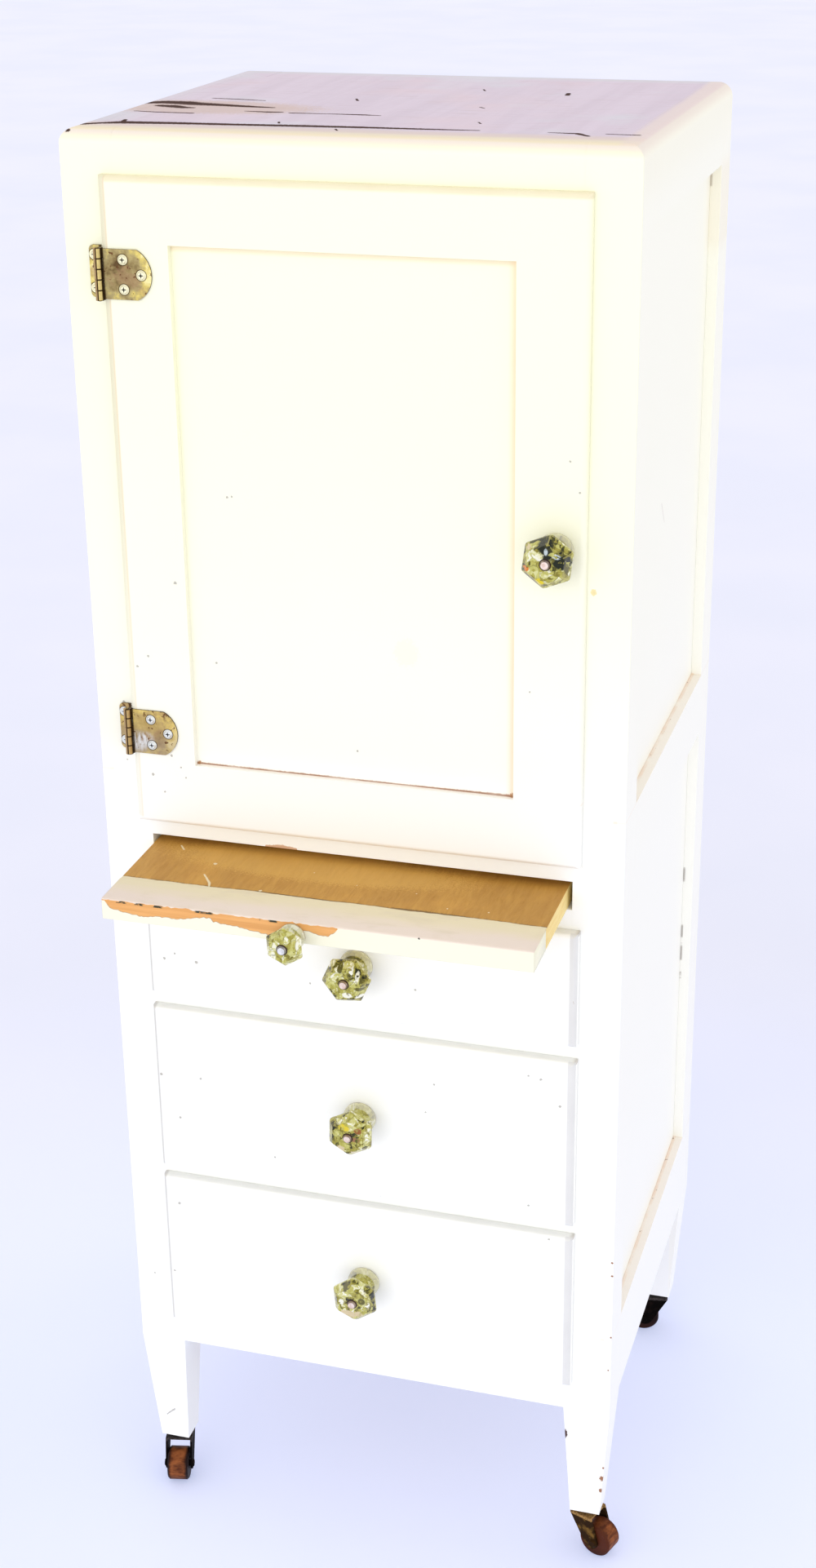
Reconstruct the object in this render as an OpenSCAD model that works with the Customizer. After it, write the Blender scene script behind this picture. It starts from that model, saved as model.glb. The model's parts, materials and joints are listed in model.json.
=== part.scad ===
// Narrow painted cupboard on casters: a post and rail carcase with inset side panels,
// a lipped door over a pull-out board and three lipped drawers, with faceted glass knobs.
// Millimetres, Z up, front towards -Y. The origin is on the floor, under the centre of the
// box round the whole object as it stands with its board drawn out.

/* [Carcase] */
// width across the corner posts
body_w = 457; // [400:1:560]
// depth from the front face to the back
body_d = 395; // [340:1:480]
// width of each square corner post
post_w = 43; // [38:0.5:50]
// thickness of the face rails and the side rails
rail_t = 20; // [16:1:26]
// radius worked along the front and side top edges
edge_r = 12; // [3:0.5:14]
// thickness of the plywood side panels
panel_t = 4; // [3:0.5:6]
// how far the side panels lie behind the side rails
side_recess = 9.5; // [5:0.5:10]
// height of the side top rails
side_top_h = 64; // [40:1:90]
// height of the side middle rails
side_mid_h = 59; // [40:1:90]
// height of the side bottom rails
side_bottom_h = 82; // [50:1:110]
// top edge of the side middle rails above the bottom of the door
side_mid_rise = 42; // [20:1:80]
// thickness of the three boards of the top
top_t = 18; // [12:1:24]
// thickness of the plywood back
back_t = 5; // [3:0.5:8]
// height of the middle and bottom back rails
back_rail_h = 45; // [30:1:60]

/* [Levels, from the top down] */
// face of the top rail showing above the door
top_reveal = 33.5; // [30:0.5:60]
// height of the door
door_h = 541.5; // [420:0.5:640]
// face showing between the door and the board slot
slot_drop = 15.5; // [12:0.5:40]
// height of the board slot
slot_h = 25.5; // [22:0.5:36]
// face showing between the slot and the top drawer
below_slot = 18; // [10:0.5:40]
// height of the top drawer front
drawer_1_h = 108; // [80:1:160]
// face showing between the top and middle drawers
gap_1 = 14; // [6:0.5:30]
// height of the middle drawer front
drawer_2_h = 166; // [120:1:200]
// face showing between the middle and bottom drawers
gap_2 = 11; // [6:0.5:30]
// height of the bottom drawer front
drawer_3_h = 160.5; // [120:0.5:200]
// face showing under the bottom drawer
bottom_reveal = 30.5; // [20:0.5:60]
// tapered leg below the bottom rail
leg_h = 124; // [80:1:180]
// height of a caster under its leg
caster_h = 47; // [44:0.5:60]

/* [Lipped fronts] */
// thickness of the door and drawer fronts
front_t = 19; // [17:0.5:24]
// part of that thickness standing in front of the face
lip_t = 9.5; // [7:0.5:11]
// how far a lip laps over the rails above and below
lip_over = 8; // [6:0.5:10]
// radius of the rounded front edges
lip_r = 5; // [2:0.5:6]
// clearance of doors and drawers in their openings
fit_gap = 1.5; // [1:0.1:2.5]
// how far the drawers' lips lap over the posts
drawer_lap = 7.5; // [5:0.5:10]
// how far the door's lips lap over the posts
door_lap = 8.5; // [6:0.5:10]

/* [Door] */
// door set off to the left of the middle
door_shift = -1; // [-2:0.5:2]
// width of the door stiles
stile_w = 56; // [44:1:70]
// width of the door's top rail
door_top_w = 51; // [40:1:70]
// width of the door's bottom rail
door_bottom_w = 57; // [40:1:80]
// depth of the flat panel behind the door's face
panel_recess = 6.5; // [4:0.5:8]
// thickness of the door panel
door_panel_t = 6; // [4:0.5:8]
// height of the shelf above the cupboard floor
shelf_rise = 245; // [150:1:350]

/* [Pull-out board] */
// clearance on each side of the board
board_clear = 3; // [2:0.5:6]
// space behind the board when its front is flush with the face
board_back_gap = 30; // [20:1:80]
// thickness of the board
board_t = 19; // [16:0.5:21]
// width of the painted front edge band
band_w = 40; // [25:1:60]
// how far the board is drawn out
board_out = 117; // [40:1:180]
// board set off to the left of the middle
board_shift = -1; // [-1.5:0.5:1.5]

/* [Drawer boxes] */
// thickness of drawer sides and backs
side_t = 12; // [9:0.5:15]
// space behind the closed drawer boxes
drawer_back_gap = 20.5; // [10:0.5:60]
// thickness of the drawer bottoms
bottom_t = 5; // [3:0.5:6]

/* [Knobs] */
// width of the large glass knobs across their corners
knob_d = 44; // [30:1:50]
// length of the large glass knobs
knob_len = 37; // [24:1:40]
// width of the small glass knob across its corners
board_knob_d = 33.5; // [24:0.5:36]
// length of the small glass knob
board_knob_len = 26; // [20:1:32]

/* [Hinges] */
// height of the door leaves
leaf_h = 39; // [30:1:60]
// width of the door leaves
leaf_w = 40; // [30:1:50]
// drop of the upper hinge below the top of the door
hinge_drop = 74.5; // [50:1:140]
// rise of the lower hinge above the bottom of the door
hinge_rise = 84; // [50:1:140]
// length of the hinge screws
screw_len = 14; // [10:1:16]

/* [Casters] */
// diameter of the wooden wheels
wheel_d = 32; // [28:1:38]
// width of the wheels
wheel_w = 20; // [14:1:22]
// distance of the wheel's axle from the swivel's axis
trail = 14.5; // [8:0.5:16]

/* [Hidden] */
// levels
z_top = caster_h + leg_h + bottom_reveal + drawer_3_h + gap_2 + drawer_2_h + gap_1 + drawer_1_h
      + below_slot + slot_h + slot_drop + door_h + top_reveal;
z_door_top = z_top - top_reveal;
z_door_bot = z_door_top - door_h;
z_slot_top = z_door_bot - slot_drop;
z_slot_bot = z_slot_top - slot_h;
drawer_h = [drawer_1_h, drawer_2_h, drawer_3_h];
z_d1 = z_slot_bot - below_slot;
z_d2 = z_d1 - drawer_1_h - gap_1;
z_d3 = z_d2 - drawer_2_h - gap_2;
z_drawer = [z_d1, z_d2, z_d3];
z_rail_bot = z_d3 - drawer_3_h - bottom_reveal;

// plan
x_out = body_w / 2;
x_in = x_out - post_w;
screw_head_h = 2.5;
box_d = body_d + board_out + board_knob_len + screw_head_h;
face_y = -box_d / 2 + board_out + board_knob_len + screw_head_h;
back_y = face_y + body_d;
side_in = x_out - rail_t;
post_back = face_y + post_w;
post_front = back_y - post_w;

// legs: how far each side of a leg tapers in
taper_out = 9;
taper_in = 6;
leg_x = (x_in + taper_in + x_out - taper_out) / 2;
leg_y = [face_y + post_w / 2, back_y - post_w / 2];
socket_r = 5.5;
socket_h = 32;
stem_r = 4;

// panels
groove = 6;
panel_x1 = x_out - side_recess;
panel_x0 = panel_x1 - panel_t;
z_side_mid = z_door_bot + side_mid_rise;
z_side_bot = z_rail_bot + side_bottom_h;
rebate = 10;
back_lift = 10;

// inside
floor_t = 12;
z_floor = z_door_bot + lip_over;
z_shelf = z_floor + shelf_rise;
runner_t = 12;
rest_gap = 0.3;
board_play = 2.5;
z_runner = [for (i = [0 : 2]) z_drawer[i] - drawer_h[i] + lip_over];
guide_h = 16;
board_guide_h = 12;
back_rail_y = back_y - back_t - rail_t;
drawer_y1 = back_rail_y - drawer_back_gap;
runner_w = 24;
top_seam = 0.4;
cleat = 14;
joint_gap = 0.1;

// door
door_y0 = face_y - lip_t;
door_y1 = face_y + front_t - lip_t;
door_x0 = door_shift - x_in - door_lap;
door_x1 = door_shift + x_in + door_lap;
open_x = x_in - fit_gap;
panel_y0 = door_y0 + panel_recess;
door_in = [door_x0 + stile_w, door_x1 - stile_w, z_door_bot + door_bottom_w, z_door_top - door_top_w];
knob_inset = 23;
knob_door_x = door_x1 - knob_inset;
knob_door_z = (z_door_top + z_door_bot) / 2;
catch_drop = 60;
catch_r = 3.5;
catch_y = face_y + (front_t - lip_t) / 2;
bolt_r = 2;
bolt_hole_r = 2.2;

// hinges
pin_x = door_x0 - 1.5;
pin_y = face_y - lip_t - 3.2;
knuckle_r = 3.2;
pin_r = 1.25;
pin_gap = 0.05;
leaf_t = 1.5;
leaf_round = 22;
leaf_corner = 4;
door_screw_r = 3.6;
frame_screw_r = 3;
knuckle_h = 8.2;
knuckle_gap = 0.3;
hinge_z = [z_door_top - hinge_drop, z_door_bot + hinge_rise];
leaf_screws = [[16.5, 11.5], [16.5, -11.5], [31.5, 0]];
frame_leaf_x0 = pin_x - 12;

// board
board_x0 = board_shift - x_in + board_clear;
board_x1 = board_shift + x_in - board_clear;
board_len = body_d - back_t - board_back_gap;
board_y0 = face_y - board_out;
z_board = z_slot_bot + rest_gap;
board_knob_x = -18;
board_knob_z = z_board + board_t / 2 - 3;

// casters: where each stands and which way its wheel trails, in degrees about Z
caster_at = [
    [-leg_x, leg_y[0], -77], [leg_x, leg_y[0], -20],
    [-leg_x, leg_y[1], 260], [leg_x, leg_y[1], 190]
];
horn_t = 1.8;
horn_gap = 1.2;
axle_r = 3;
crown_z = caster_h - 3.8;
crown_back = 10.5;
crown_front = 12;
horn_r = 7;
wheel_ease = 1.5;

// colours
cream = [0.94, 0.92, 0.84];
lilac = [0.72, 0.66, 0.71];
pine = [0.80, 0.66, 0.45];
oak = [0.66, 0.46, 0.22];
brass = [0.62, 0.50, 0.26];
steel = [0.70, 0.70, 0.68];
iron = [0.20, 0.16, 0.12];
glass = [0.80, 0.84, 0.66, 0.5];
red_wood = [0.45, 0.24, 0.15];

// a box from its lowest to its highest corner
module block(lo, hi) {
    translate(lo) cube(hi - lo);
}

// the same shape again on the other side of the middle
module both_sides() {
    children();
    mirror([1, 0, 0]) children();
}

// mirrors its children to the left when side is -1
module on_side(side) {
    if (side < 0) mirror([1, 0, 0]) children();
    else children();
}

// the waste outside the rounded front and side top edges
module rounded_edge_waste() {
    difference() {
        block([-x_out - 1, face_y - 1, z_top - edge_r], [x_out + 1, face_y + edge_r, z_top + 1]);
        translate([-x_out - 2, face_y + edge_r, z_top - edge_r])
            rotate([0, 90, 0]) cylinder(r = edge_r, h = body_w + 4, $fn = 64);
    }
    both_sides() difference() {
        block([x_out - edge_r, face_y - 1, z_top - edge_r], [x_out + 1, back_y + 1, z_top + 1]);
        translate([x_out - edge_r, face_y - 2, z_top - edge_r])
            rotate([-90, 0, 0]) cylinder(r = edge_r, h = body_d + 4, $fn = 64);
    }
}

// a leg tapering on all four sides, from the height of the bottom rail down
module tapered_leg(y0, y1, in_front, in_back) {
    x0 = x_in + taper_in;
    x1 = x_out - taper_out;
    polyhedron(
        points = [
            [x0, y0 + in_front, caster_h], [x1, y0 + in_front, caster_h],
            [x1, y1 - in_back, caster_h], [x0, y1 - in_back, caster_h],
            [x_in, y0, z_rail_bot], [x_out, y0, z_rail_bot],
            [x_out, y1, z_rail_bot], [x_in, y1, z_rail_bot]
        ],
        faces = [[0, 1, 2, 3], [4, 7, 6, 5], [0, 4, 5, 1], [1, 5, 6, 2], [2, 6, 7, 3], [3, 7, 4, 0]]
    );
}

// grooves in a post for the upper and lower side panels, opening at y
module post_grooves(y0, y1) {
    block([panel_x0, y0, z_side_mid - groove], [panel_x1, y1, z_top - side_top_h + groove]);
    block([panel_x0, y0, z_side_bot - groove], [panel_x1, y1, z_side_mid - side_mid_h + groove]);
}

module front_post(side) {
    color(cream) on_side(side) difference() {
        union() {
            block([x_in, face_y, z_rail_bot], [x_out, post_back, z_top]);
            tapered_leg(face_y, post_back, 9, 8);
        }
        rounded_edge_waste();
        post_grooves(post_back - groove, post_back + 1);
        translate([leg_x, leg_y[0], caster_h - 1]) cylinder(r = socket_r, h = socket_h + 1, $fn = 48);
    }
}

module rear_post(side) {
    color(cream) on_side(side) difference() {
        union() {
            block([x_in, post_front, z_rail_bot], [x_out, back_y, z_top]);
            tapered_leg(post_front, back_y, 8, 9);
        }
        rounded_edge_waste();
        post_grooves(post_front - 1, post_front + groove);
        // rebate for the back
        block([x_in - 1, back_y - back_t, z_rail_bot + back_lift],
              [x_in + rebate, back_y + 1, z_top - top_t]);
        translate([leg_x, leg_y[1], caster_h - 1]) cylinder(r = socket_r, h = socket_h + 1, $fn = 48);
    }
}

module post_front_left() front_post(-1);
module post_front_right() front_post(1);
module post_rear_left() rear_post(-1);
module post_rear_right() rear_post(1);

// one face rail between the front posts
module face_rail(z0, z1) {
    block([-x_in, face_y, z0], [x_in, face_y + rail_t, z1]);
}

module rail_top_front() {
    color(cream) difference() {
        union() {
            face_rail(z_door_top - lip_over, z_top - top_t);
            block([-x_in, face_y, z_top - top_t], [x_in, post_back, z_top]);
        }
        rounded_edge_waste();
    }
}

// the four rails between the door, the board and the drawers
module face_rails() {
    color(cream) {
        face_rail(z_slot_top, z_floor);
        face_rail(z_d1 - lip_over, z_slot_bot);
        face_rail(z_d2 - lip_over, z_d1 - drawer_1_h + lip_over);
        face_rail(z_d3 - lip_over, z_d2 - drawer_2_h + lip_over);
    }
}

module rail_bottom_front() {
    color(cream) face_rail(z_rail_bot, z_d3 - drawer_3_h + lip_over);
}

// rails between the rear posts: the top one is flush with the top
module rails_back() {
    color(cream) {
        block([-x_in, post_front, z_top - top_t], [x_in, back_y, z_top]);
        block([-x_in, back_rail_y, z_rail_bot], [x_in, back_y - back_t, z_rail_bot + back_rail_h]);
        block([-x_in, back_rail_y, z_slot_bot - 5 - back_rail_h], [x_in, back_y - back_t, z_slot_bot - 5]);
    }
}

// top, middle and bottom rails of one side, grooved for its panels
module side_rails(side) {
    color(cream) on_side(side) difference() {
        union() {
            block([side_in, post_back, z_top - side_top_h], [x_out, post_front, z_top]);
            block([side_in, post_back, z_side_mid - side_mid_h], [x_out, post_front, z_side_mid]);
            block([side_in, post_back, z_rail_bot], [x_out, post_front, z_side_bot]);
        }
        rounded_edge_waste();
        post_grooves(post_back - 1, post_front + 1);
    }
}

module side_rails_left() side_rails(-1);
module side_rails_right() side_rails(1);

// upper and lower plywood panels of one side, in the grooves of its frame
module side_panels(side) {
    y0 = post_back - groove;
    y1 = post_front + groove;
    color(cream) on_side(side) {
        block([panel_x0, y0, z_side_mid - groove], [panel_x1, y1, z_top - side_top_h + groove]);
        block([panel_x0, y0, z_side_bot - groove], [panel_x1, y1, z_side_mid - side_mid_h + groove]);
    }
}

module side_panels_left() side_panels(-1);
module side_panels_right() side_panels(1);

module back_panel() {
    w = x_in + rebate;
    color(pine) block([-w, back_y - back_t, z_rail_bot + back_lift], [w, back_y, z_top - top_t]);
}

// three boards edge to edge, flush with the rails round them
module top_boards() {
    board_d = (post_front - post_back) / 3;
    color(lilac) for (i = [0 : 2])
        block([-side_in, post_back + i * board_d + (i > 0 ? top_seam : 0), z_top - top_t],
              [side_in, post_back + (i + 1) * board_d, z_top]);
}

// a board notched round the four posts
module notched_board(z0, t, y0) {
    block([-x_in, y0, z0], [x_in, back_y - back_t, z0 + t]);
    block([-side_in, post_back, z0], [side_in, post_front, z0 + t]);
}

module cupboard_floor() {
    color(pine) notched_board(z_floor - floor_t, floor_t, face_y + rail_t);
}

module shelf() {
    color(pine) notched_board(z_shelf, floor_t, face_y + front_t + 8);
}

// strips under the shelf, one between the posts on each side
module shelf_cleats() {
    color(pine) both_sides()
        block([side_in - cleat, post_back, z_shelf - cleat], [side_in, post_front, z_shelf]);
}

// a strip on each side from the face rail to the back, filled out to the side between the posts
module runner(z0, z1) {
    both_sides() {
        block([x_in - runner_w, face_y + rail_t, z0], [x_in, back_rail_y, z1]);
        block([x_in, post_back, z0], [side_in, post_front, z1]);
    }
}

// a strip standing on a runner's outer part
module guide(z0, z1) {
    both_sides() block([x_in, post_back, z0], [side_in, post_front, z1]);
}

// strips under the board and over it
module board_runners() {
    color(pine) {
        runner(z_slot_bot - runner_t, z_slot_bot);
        runner(z_slot_bot + board_t + board_play, z_floor - floor_t);
    }
}

module drawer_runners() {
    color(pine) for (z = z_runner) runner(z - runner_t, z);
}

// guides beside the board and the drawer boxes
module runner_guides() {
    color(pine) {
        guide(z_slot_bot, z_slot_bot + board_guide_h);
        for (z = z_runner) guide(z, z + guide_h);
    }
}

// a flat board with its front edges rounded all round, standing on its back face
// x and z from lo to hi, y from the rounded front y0 to the back y1
module rounded_front(x0, x1, y0, y1, z0, z1, r) {
    intersection() {
        translate([0, 0, z0]) linear_extrude(z1 - z0) rounded_edges(x0, x1, y0, y1, r);
        translate([x0, 0, 0]) rotate([90, 0, 90]) linear_extrude(x1 - x0)
            mirror([1, -1]) rounded_edges(z0, z1, y0, y1, r);
    }
}

// a rectangle with round corners on its side nearest y0
module rounded_edges(x0, x1, y0, y1, r) {
    intersection() {
        translate([x0, y0]) square([x1 - x0, y1 - y0]);
        union() {
            translate([x0, y0 + r]) square([x1 - x0, y1 - y0 - r]);
            translate([x0 + r, y0]) square([x1 - x0 - 2 * r, r]);
            for (x = [x0 + r, x1 - r]) translate([x, y0 + r]) circle(r = r, $fn = 48);
        }
    }
}

// a lipped front: the rounded lip before the face and the thicker part inside the opening
module lipped_front(x0, x1, z0, z1, in0, in1) {
    rounded_front(x0, x1, door_y0, face_y - 0.3, z0, z1, lip_r);
    block([in0, face_y - 0.31, z0 + lip_over + fit_gap], [in1, door_y1, z1 - lip_over - fit_gap]);
}

// the whole door before it is divided into stiles and rails
module door_blank() {
    lipped_front(door_x0, door_x1, z_door_bot, z_door_top, -open_x, open_x);
}

// the panel with its margin in the grooves
module door_panel_shape() {
    block([door_in[0] - groove, panel_y0, door_in[2] - groove],
          [door_in[1] + groove, panel_y0 + door_panel_t, door_in[3] + groove]);
}

module door_stiles() {
    color(cream) difference() {
        intersection() {
            door_blank();
            union() {
                block([door_x0, door_y0, z_door_bot], [door_in[0], door_y1, z_door_top]);
                block([door_in[1], door_y0, z_door_bot], [door_x1, door_y1, z_door_top]);
            }
        }
        door_panel_shape();
        translate([knob_door_x, door_y0 - 1, knob_door_z]) rotate([-90, 0, 0])
            cylinder(r = bolt_hole_r, h = front_t + 2, $fn = 32);
        translate([open_x - 12, catch_y, knob_door_z - catch_drop]) rotate([0, 90, 0])
            cylinder(r = catch_r + joint_gap, h = 14, $fn = 32);
    }
}

module door_rails() {
    color(cream) difference() {
        intersection() {
            door_blank();
            union() {
                block([door_in[0], door_y0, z_door_bot], [door_in[1], door_y1, door_in[2]]);
                block([door_in[0], door_y0, door_in[3]], [door_in[1], door_y1, z_door_top]);
            }
        }
        door_panel_shape();
    }
}

module door_panel() {
    color(cream) door_panel_shape();
}

// a cylinder along -Y from y = 0, growing from radius a to radius b
module along_front(a, b, from, to, sides) {
    translate([0, -from, 0]) rotate([90, 0, 0]) cylinder(r1 = a, r2 = b, h = to - from, $fn = sides);
}

// faceted glass knob: foot, waist and six-sided head, turned about its own axis
module glass_knob(d, len, turn) {
    r = d / 2;
    color(glass) rotate([0, turn, 0]) difference() {
        union() {
            along_front(r * 0.66, r * 0.68, 0, len * 0.1, 12);
            along_front(r * 0.68, r * 0.45, len * 0.1, len * 0.28, 12);
            along_front(r * 0.45, r * 0.5, len * 0.28, len * 0.38, 12);
            along_front(r * 0.5, r, len * 0.38, len * 0.72, 6);
            along_front(r, r, len * 0.72, len * 0.8, 6);
            along_front(r, r * 0.74, len * 0.8, len, 6);
        }
        along_front(bolt_hole_r, bolt_hole_r, -1, len + 1, 32);
    }
}

// round-headed bolt through a knob and its front, with the nut behind
module knob_bolt(len, through) {
    color(steel) {
        along_front(bolt_r, bolt_r, -through - 4.5, len + 0.1, 32);
        along_front(4.4, 3.2, len, len + screw_head_h, 32);
        along_front(4.6, 4.6, -through - 3, -through, 6);
    }
}

module door_knob() {
    translate([knob_door_x, door_y0, knob_door_z]) glass_knob(knob_d, knob_len, 38);
}

module door_knob_bolt() {
    translate([knob_door_x, door_y0, knob_door_z]) knob_bolt(knob_len, front_t);
}

// bullet catch in the door's right edge
module door_catch() {
    color(brass) translate([open_x - 11, catch_y, knob_door_z - catch_drop]) rotate([0, 90, 0]) {
        cylinder(r = catch_r, h = 11, $fn = 32);
        cylinder(r1 = catch_r, r2 = 1.5, h = 12, $fn = 32);
    }
}

// the span in height of knuckle i of a five-knuckle hinge
function knuckle_z(i) = (i - 2.5) * knuckle_h + knuckle_gap / 2;

// the barrels of the knuckles listed, each with a tab that joins it to its leaf
module knuckles(list, tab_lo, tab_hi) {
    for (i = list) {
        translate([pin_x, pin_y, knuckle_z(i)])
            cylinder(r = knuckle_r, h = knuckle_h - knuckle_gap, $fn = 48);
        block([tab_lo[0], tab_lo[1], knuckle_z(i)],
              [tab_hi[0], tab_hi[1], knuckle_z(i) + knuckle_h - knuckle_gap]);
    }
}

// outline of a door leaf: square at the barrel, an arc at the free end, its corners eased
module leaf_outline() {
    intersection() {
        translate([0, -leaf_h / 2]) square([leaf_w, leaf_h]);
        offset(r = leaf_corner, $fn = 48) offset(delta = -leaf_corner) intersection() {
            translate([-leaf_w, -leaf_h / 2]) square([leaf_w * 2, leaf_h]);
            union() {
                translate([leaf_w - leaf_round, 0]) circle(r = leaf_round, $fn = 96);
                translate([-leaf_w, -leaf_h / 2]) square([leaf_w * 2 - leaf_round, leaf_h]);
            }
        }
    }
}

// door leaf: a plate with a rounded free end, on the face of the door
module door_leaf() {
    x0 = pin_x + knuckle_r + knuckle_gap;
    difference() {
        union() {
            translate([x0, door_y0, 0]) rotate([90, 0, 0])
                linear_extrude(leaf_t) leaf_outline();
            knuckles([0, 2, 4], [pin_x, door_y0 - leaf_t, 0], [x0 + 0.1, door_y0, 0]);
        }
        translate([pin_x, pin_y, -leaf_h]) cylinder(r = pin_r + pin_gap, h = 2 * leaf_h, $fn = 32);
        for (s = leaf_screws) translate([x0 + s[0], door_y0 - leaf_t - 1, s[1]]) rotate([-90, 0, 0])
            cylinder(r = 1.7, h = leaf_t + 2, $fn = 24);
    }
}

module hinge_door_leaves() {
    color(brass) for (z = hinge_z) translate([0, 0, z]) door_leaf();
}

// frame leaf: a narrow plate on the post, standing out to its two knuckles
module frame_leaf() {
    x1 = pin_x - knuckle_r + 1.5;
    h = knuckle_h * 5;
    difference() {
        union() {
            block([frame_leaf_x0 + 4, face_y - leaf_t, -h / 2], [x1, face_y, h / 2]);
            block([frame_leaf_x0, face_y - leaf_t, 4 - h / 2], [frame_leaf_x0 + 4, face_y, h / 2 - 4]);
            for (s = [-1, 1]) translate([frame_leaf_x0 + 4, face_y - leaf_t, s * (h / 2 - 4)])
                rotate([-90, 0, 0]) cylinder(r = 4, h = leaf_t, $fn = 32);
            knuckles([1, 3], [pin_x - knuckle_r, pin_y, 0], [x1, face_y, 0]);
        }
        translate([pin_x, pin_y, -leaf_h]) cylinder(r = pin_r, h = 2 * leaf_h, $fn = 32);
        for (s = [-1, 1]) translate([frame_leaf_x0 + 4.2, face_y - leaf_t - 1, s * 13]) rotate([-90, 0, 0])
            cylinder(r = 1.7, h = leaf_t + 2, $fn = 24);
    }
}

module hinge_frame_leaves() {
    color(brass) for (z = hinge_z) translate([0, 0, z]) frame_leaf();
}

module hinge_pins() {
    h = knuckle_h * 5 + 1;
    color(brass) for (z = hinge_z)
        translate([pin_x, pin_y, z - h / 2]) cylinder(r = pin_r, h = h, $fn = 32);
}

// cross-headed wood screw lying along +Y, its head before y = 0
module wood_screw(head_r, len) {
    difference() {
        union() {
            rotate([90, 0, 0]) cylinder(r1 = head_r, r2 = head_r * 0.72, h = 1.1, $fn = 32);
            rotate([-90, 0, 0]) cylinder(r = 1.5, h = len, $fn = 24);
        }
        block([-head_r * 0.55, -2, -0.35], [head_r * 0.55, -0.5, 0.35]);
        block([-0.35, -2, -head_r * 0.55], [0.35, -0.5, head_r * 0.55]);
    }
}

module hinge_door_screws() {
    x0 = pin_x + knuckle_r + knuckle_gap;
    color(steel) for (z = hinge_z) for (s = leaf_screws)
        translate([x0 + s[0], door_y0 - leaf_t, z + s[1]]) wood_screw(door_screw_r, screw_len);
}

module hinge_frame_screws() {
    color(steel) for (z = hinge_z) for (s = [-1, 1])
        translate([frame_leaf_x0 + 4.2, face_y - leaf_t, z + s * 13]) wood_screw(frame_screw_r, screw_len);
}

// the board's body: a stub tongue on its front edge holds the painted band
module board_panel() {
    y1 = board_y0 + board_len;
    color(oak) {
        block([board_x0, board_y0 + band_w, z_board], [board_x1, y1, z_board + board_t]);
        block([board_x0 + 12, board_y0 + band_w - 8, z_board + board_t / 2 - 3],
              [board_x1 - 12, board_y0 + band_w + 1, z_board + board_t / 2 + 3]);
    }
}

module board_front_band() {
    color(cream) difference() {
        block([board_x0, board_y0, z_board], [board_x1, board_y0 + band_w, z_board + board_t]);
        block([board_x0 + 12, board_y0 + band_w - 8, z_board + board_t / 2 - 3],
              [board_x1 - 12, board_y0 + band_w + 1, z_board + board_t / 2 + 3]);
    }
}

module board_knob() {
    translate([board_knob_x, board_y0, board_knob_z]) glass_knob(board_knob_d, board_knob_len, 27);
}

module board_knob_screw() {
    color(steel) translate([board_knob_x, board_y0, board_knob_z]) {
        along_front(bolt_r, bolt_r, -22, board_knob_len + 0.1, 32);
        along_front(4.4, 3.2, board_knob_len, board_knob_len + screw_head_h, 32);
    }
}

// drawers: the sides are grooved for a bottom that slides in under the back
function drawer_z0(i) = z_runner[i] + rest_gap;
function drawer_z1(i) = z_drawer[i] - lip_over - 6;
function drawer_floor(i) = drawer_z0(i) + 6;

module drawer_front(i) {
    z1 = z_drawer[i];
    z0 = z1 - drawer_h[i];
    color(cream) difference() {
        lipped_front(-x_in - drawer_lap, x_in + drawer_lap, z0, z1, -open_x, open_x);
        translate([0, door_y0 - 1, (z0 + z1) / 2]) rotate([-90, 0, 0])
            cylinder(r = bolt_hole_r, h = front_t + 2, $fn = 32);
    }
}

module drawer_sides(i) {
    z0 = drawer_z0(i);
    z1 = drawer_z1(i);
    zf = drawer_floor(i);
    color(pine) {
        both_sides() difference() {
            block([open_x - side_t, door_y1, z0], [open_x, drawer_y1, z1]);
            block([open_x - side_t - 1, door_y1 - 1, zf],
                  [open_x - side_t + 5, drawer_y1 + 1, zf + bottom_t]);
        }
        w = open_x - side_t - joint_gap;
        block([-w, drawer_y1 - side_t, zf + bottom_t], [w, drawer_y1, z1]);
    }
}

module drawer_bottom(i) {
    w = open_x - side_t + 5;
    color(pine) block([-w, door_y1, drawer_floor(i)], [w, drawer_y1, drawer_floor(i) + bottom_t]);
}

module drawer_knob(i, turn) {
    translate([0, door_y0, z_drawer[i] - drawer_h[i] / 2]) glass_knob(knob_d, knob_len, turn);
}

module drawer_bolt(i) {
    translate([0, door_y0, z_drawer[i] - drawer_h[i] / 2]) knob_bolt(knob_len, front_t);
}

module drawer_1_front() drawer_front(0);
module drawer_1_sides() drawer_sides(0);
module drawer_1_bottom() drawer_bottom(0);
module drawer_1_knob() drawer_knob(0, 54);
module drawer_1_bolt() drawer_bolt(0);
module drawer_2_front() drawer_front(1);
module drawer_2_sides() drawer_sides(1);
module drawer_2_bottom() drawer_bottom(1);
module drawer_2_knob() drawer_knob(1, 32);
module drawer_2_bolt() drawer_bolt(1);
module drawer_3_front() drawer_front(2);
module drawer_3_sides() drawer_sides(2);
module drawer_3_bottom() drawer_bottom(2);
module drawer_3_knob() drawer_knob(2, 25);
module drawer_3_bolt() drawer_bolt(2);

// steel sockets let into the legs, each with a flange under the leg
module caster_sockets() {
    color(steel) for (c = caster_at) translate([c[0], c[1], caster_h]) difference() {
        union() {
            cylinder(r = socket_r, h = socket_h, $fn = 48);
            translate([0, 0, -1.2]) cylinder(r = 10, h = 1.2, $fn = 48);
        }
        translate([0, 0, -2]) cylinder(r = stem_r + pin_gap, h = socket_h, $fn = 48);
    }
}

// side view of a horn: as wide as the crown at the top, round about the axle below
module horn_outline() {
    hull() {
        translate([-crown_back, crown_z - horn_t]) square([crown_back + crown_front, horn_t]);
        translate([trail - 2, wheel_d / 2]) circle(r = horn_r, $fn = 48);
    }
}

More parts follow.
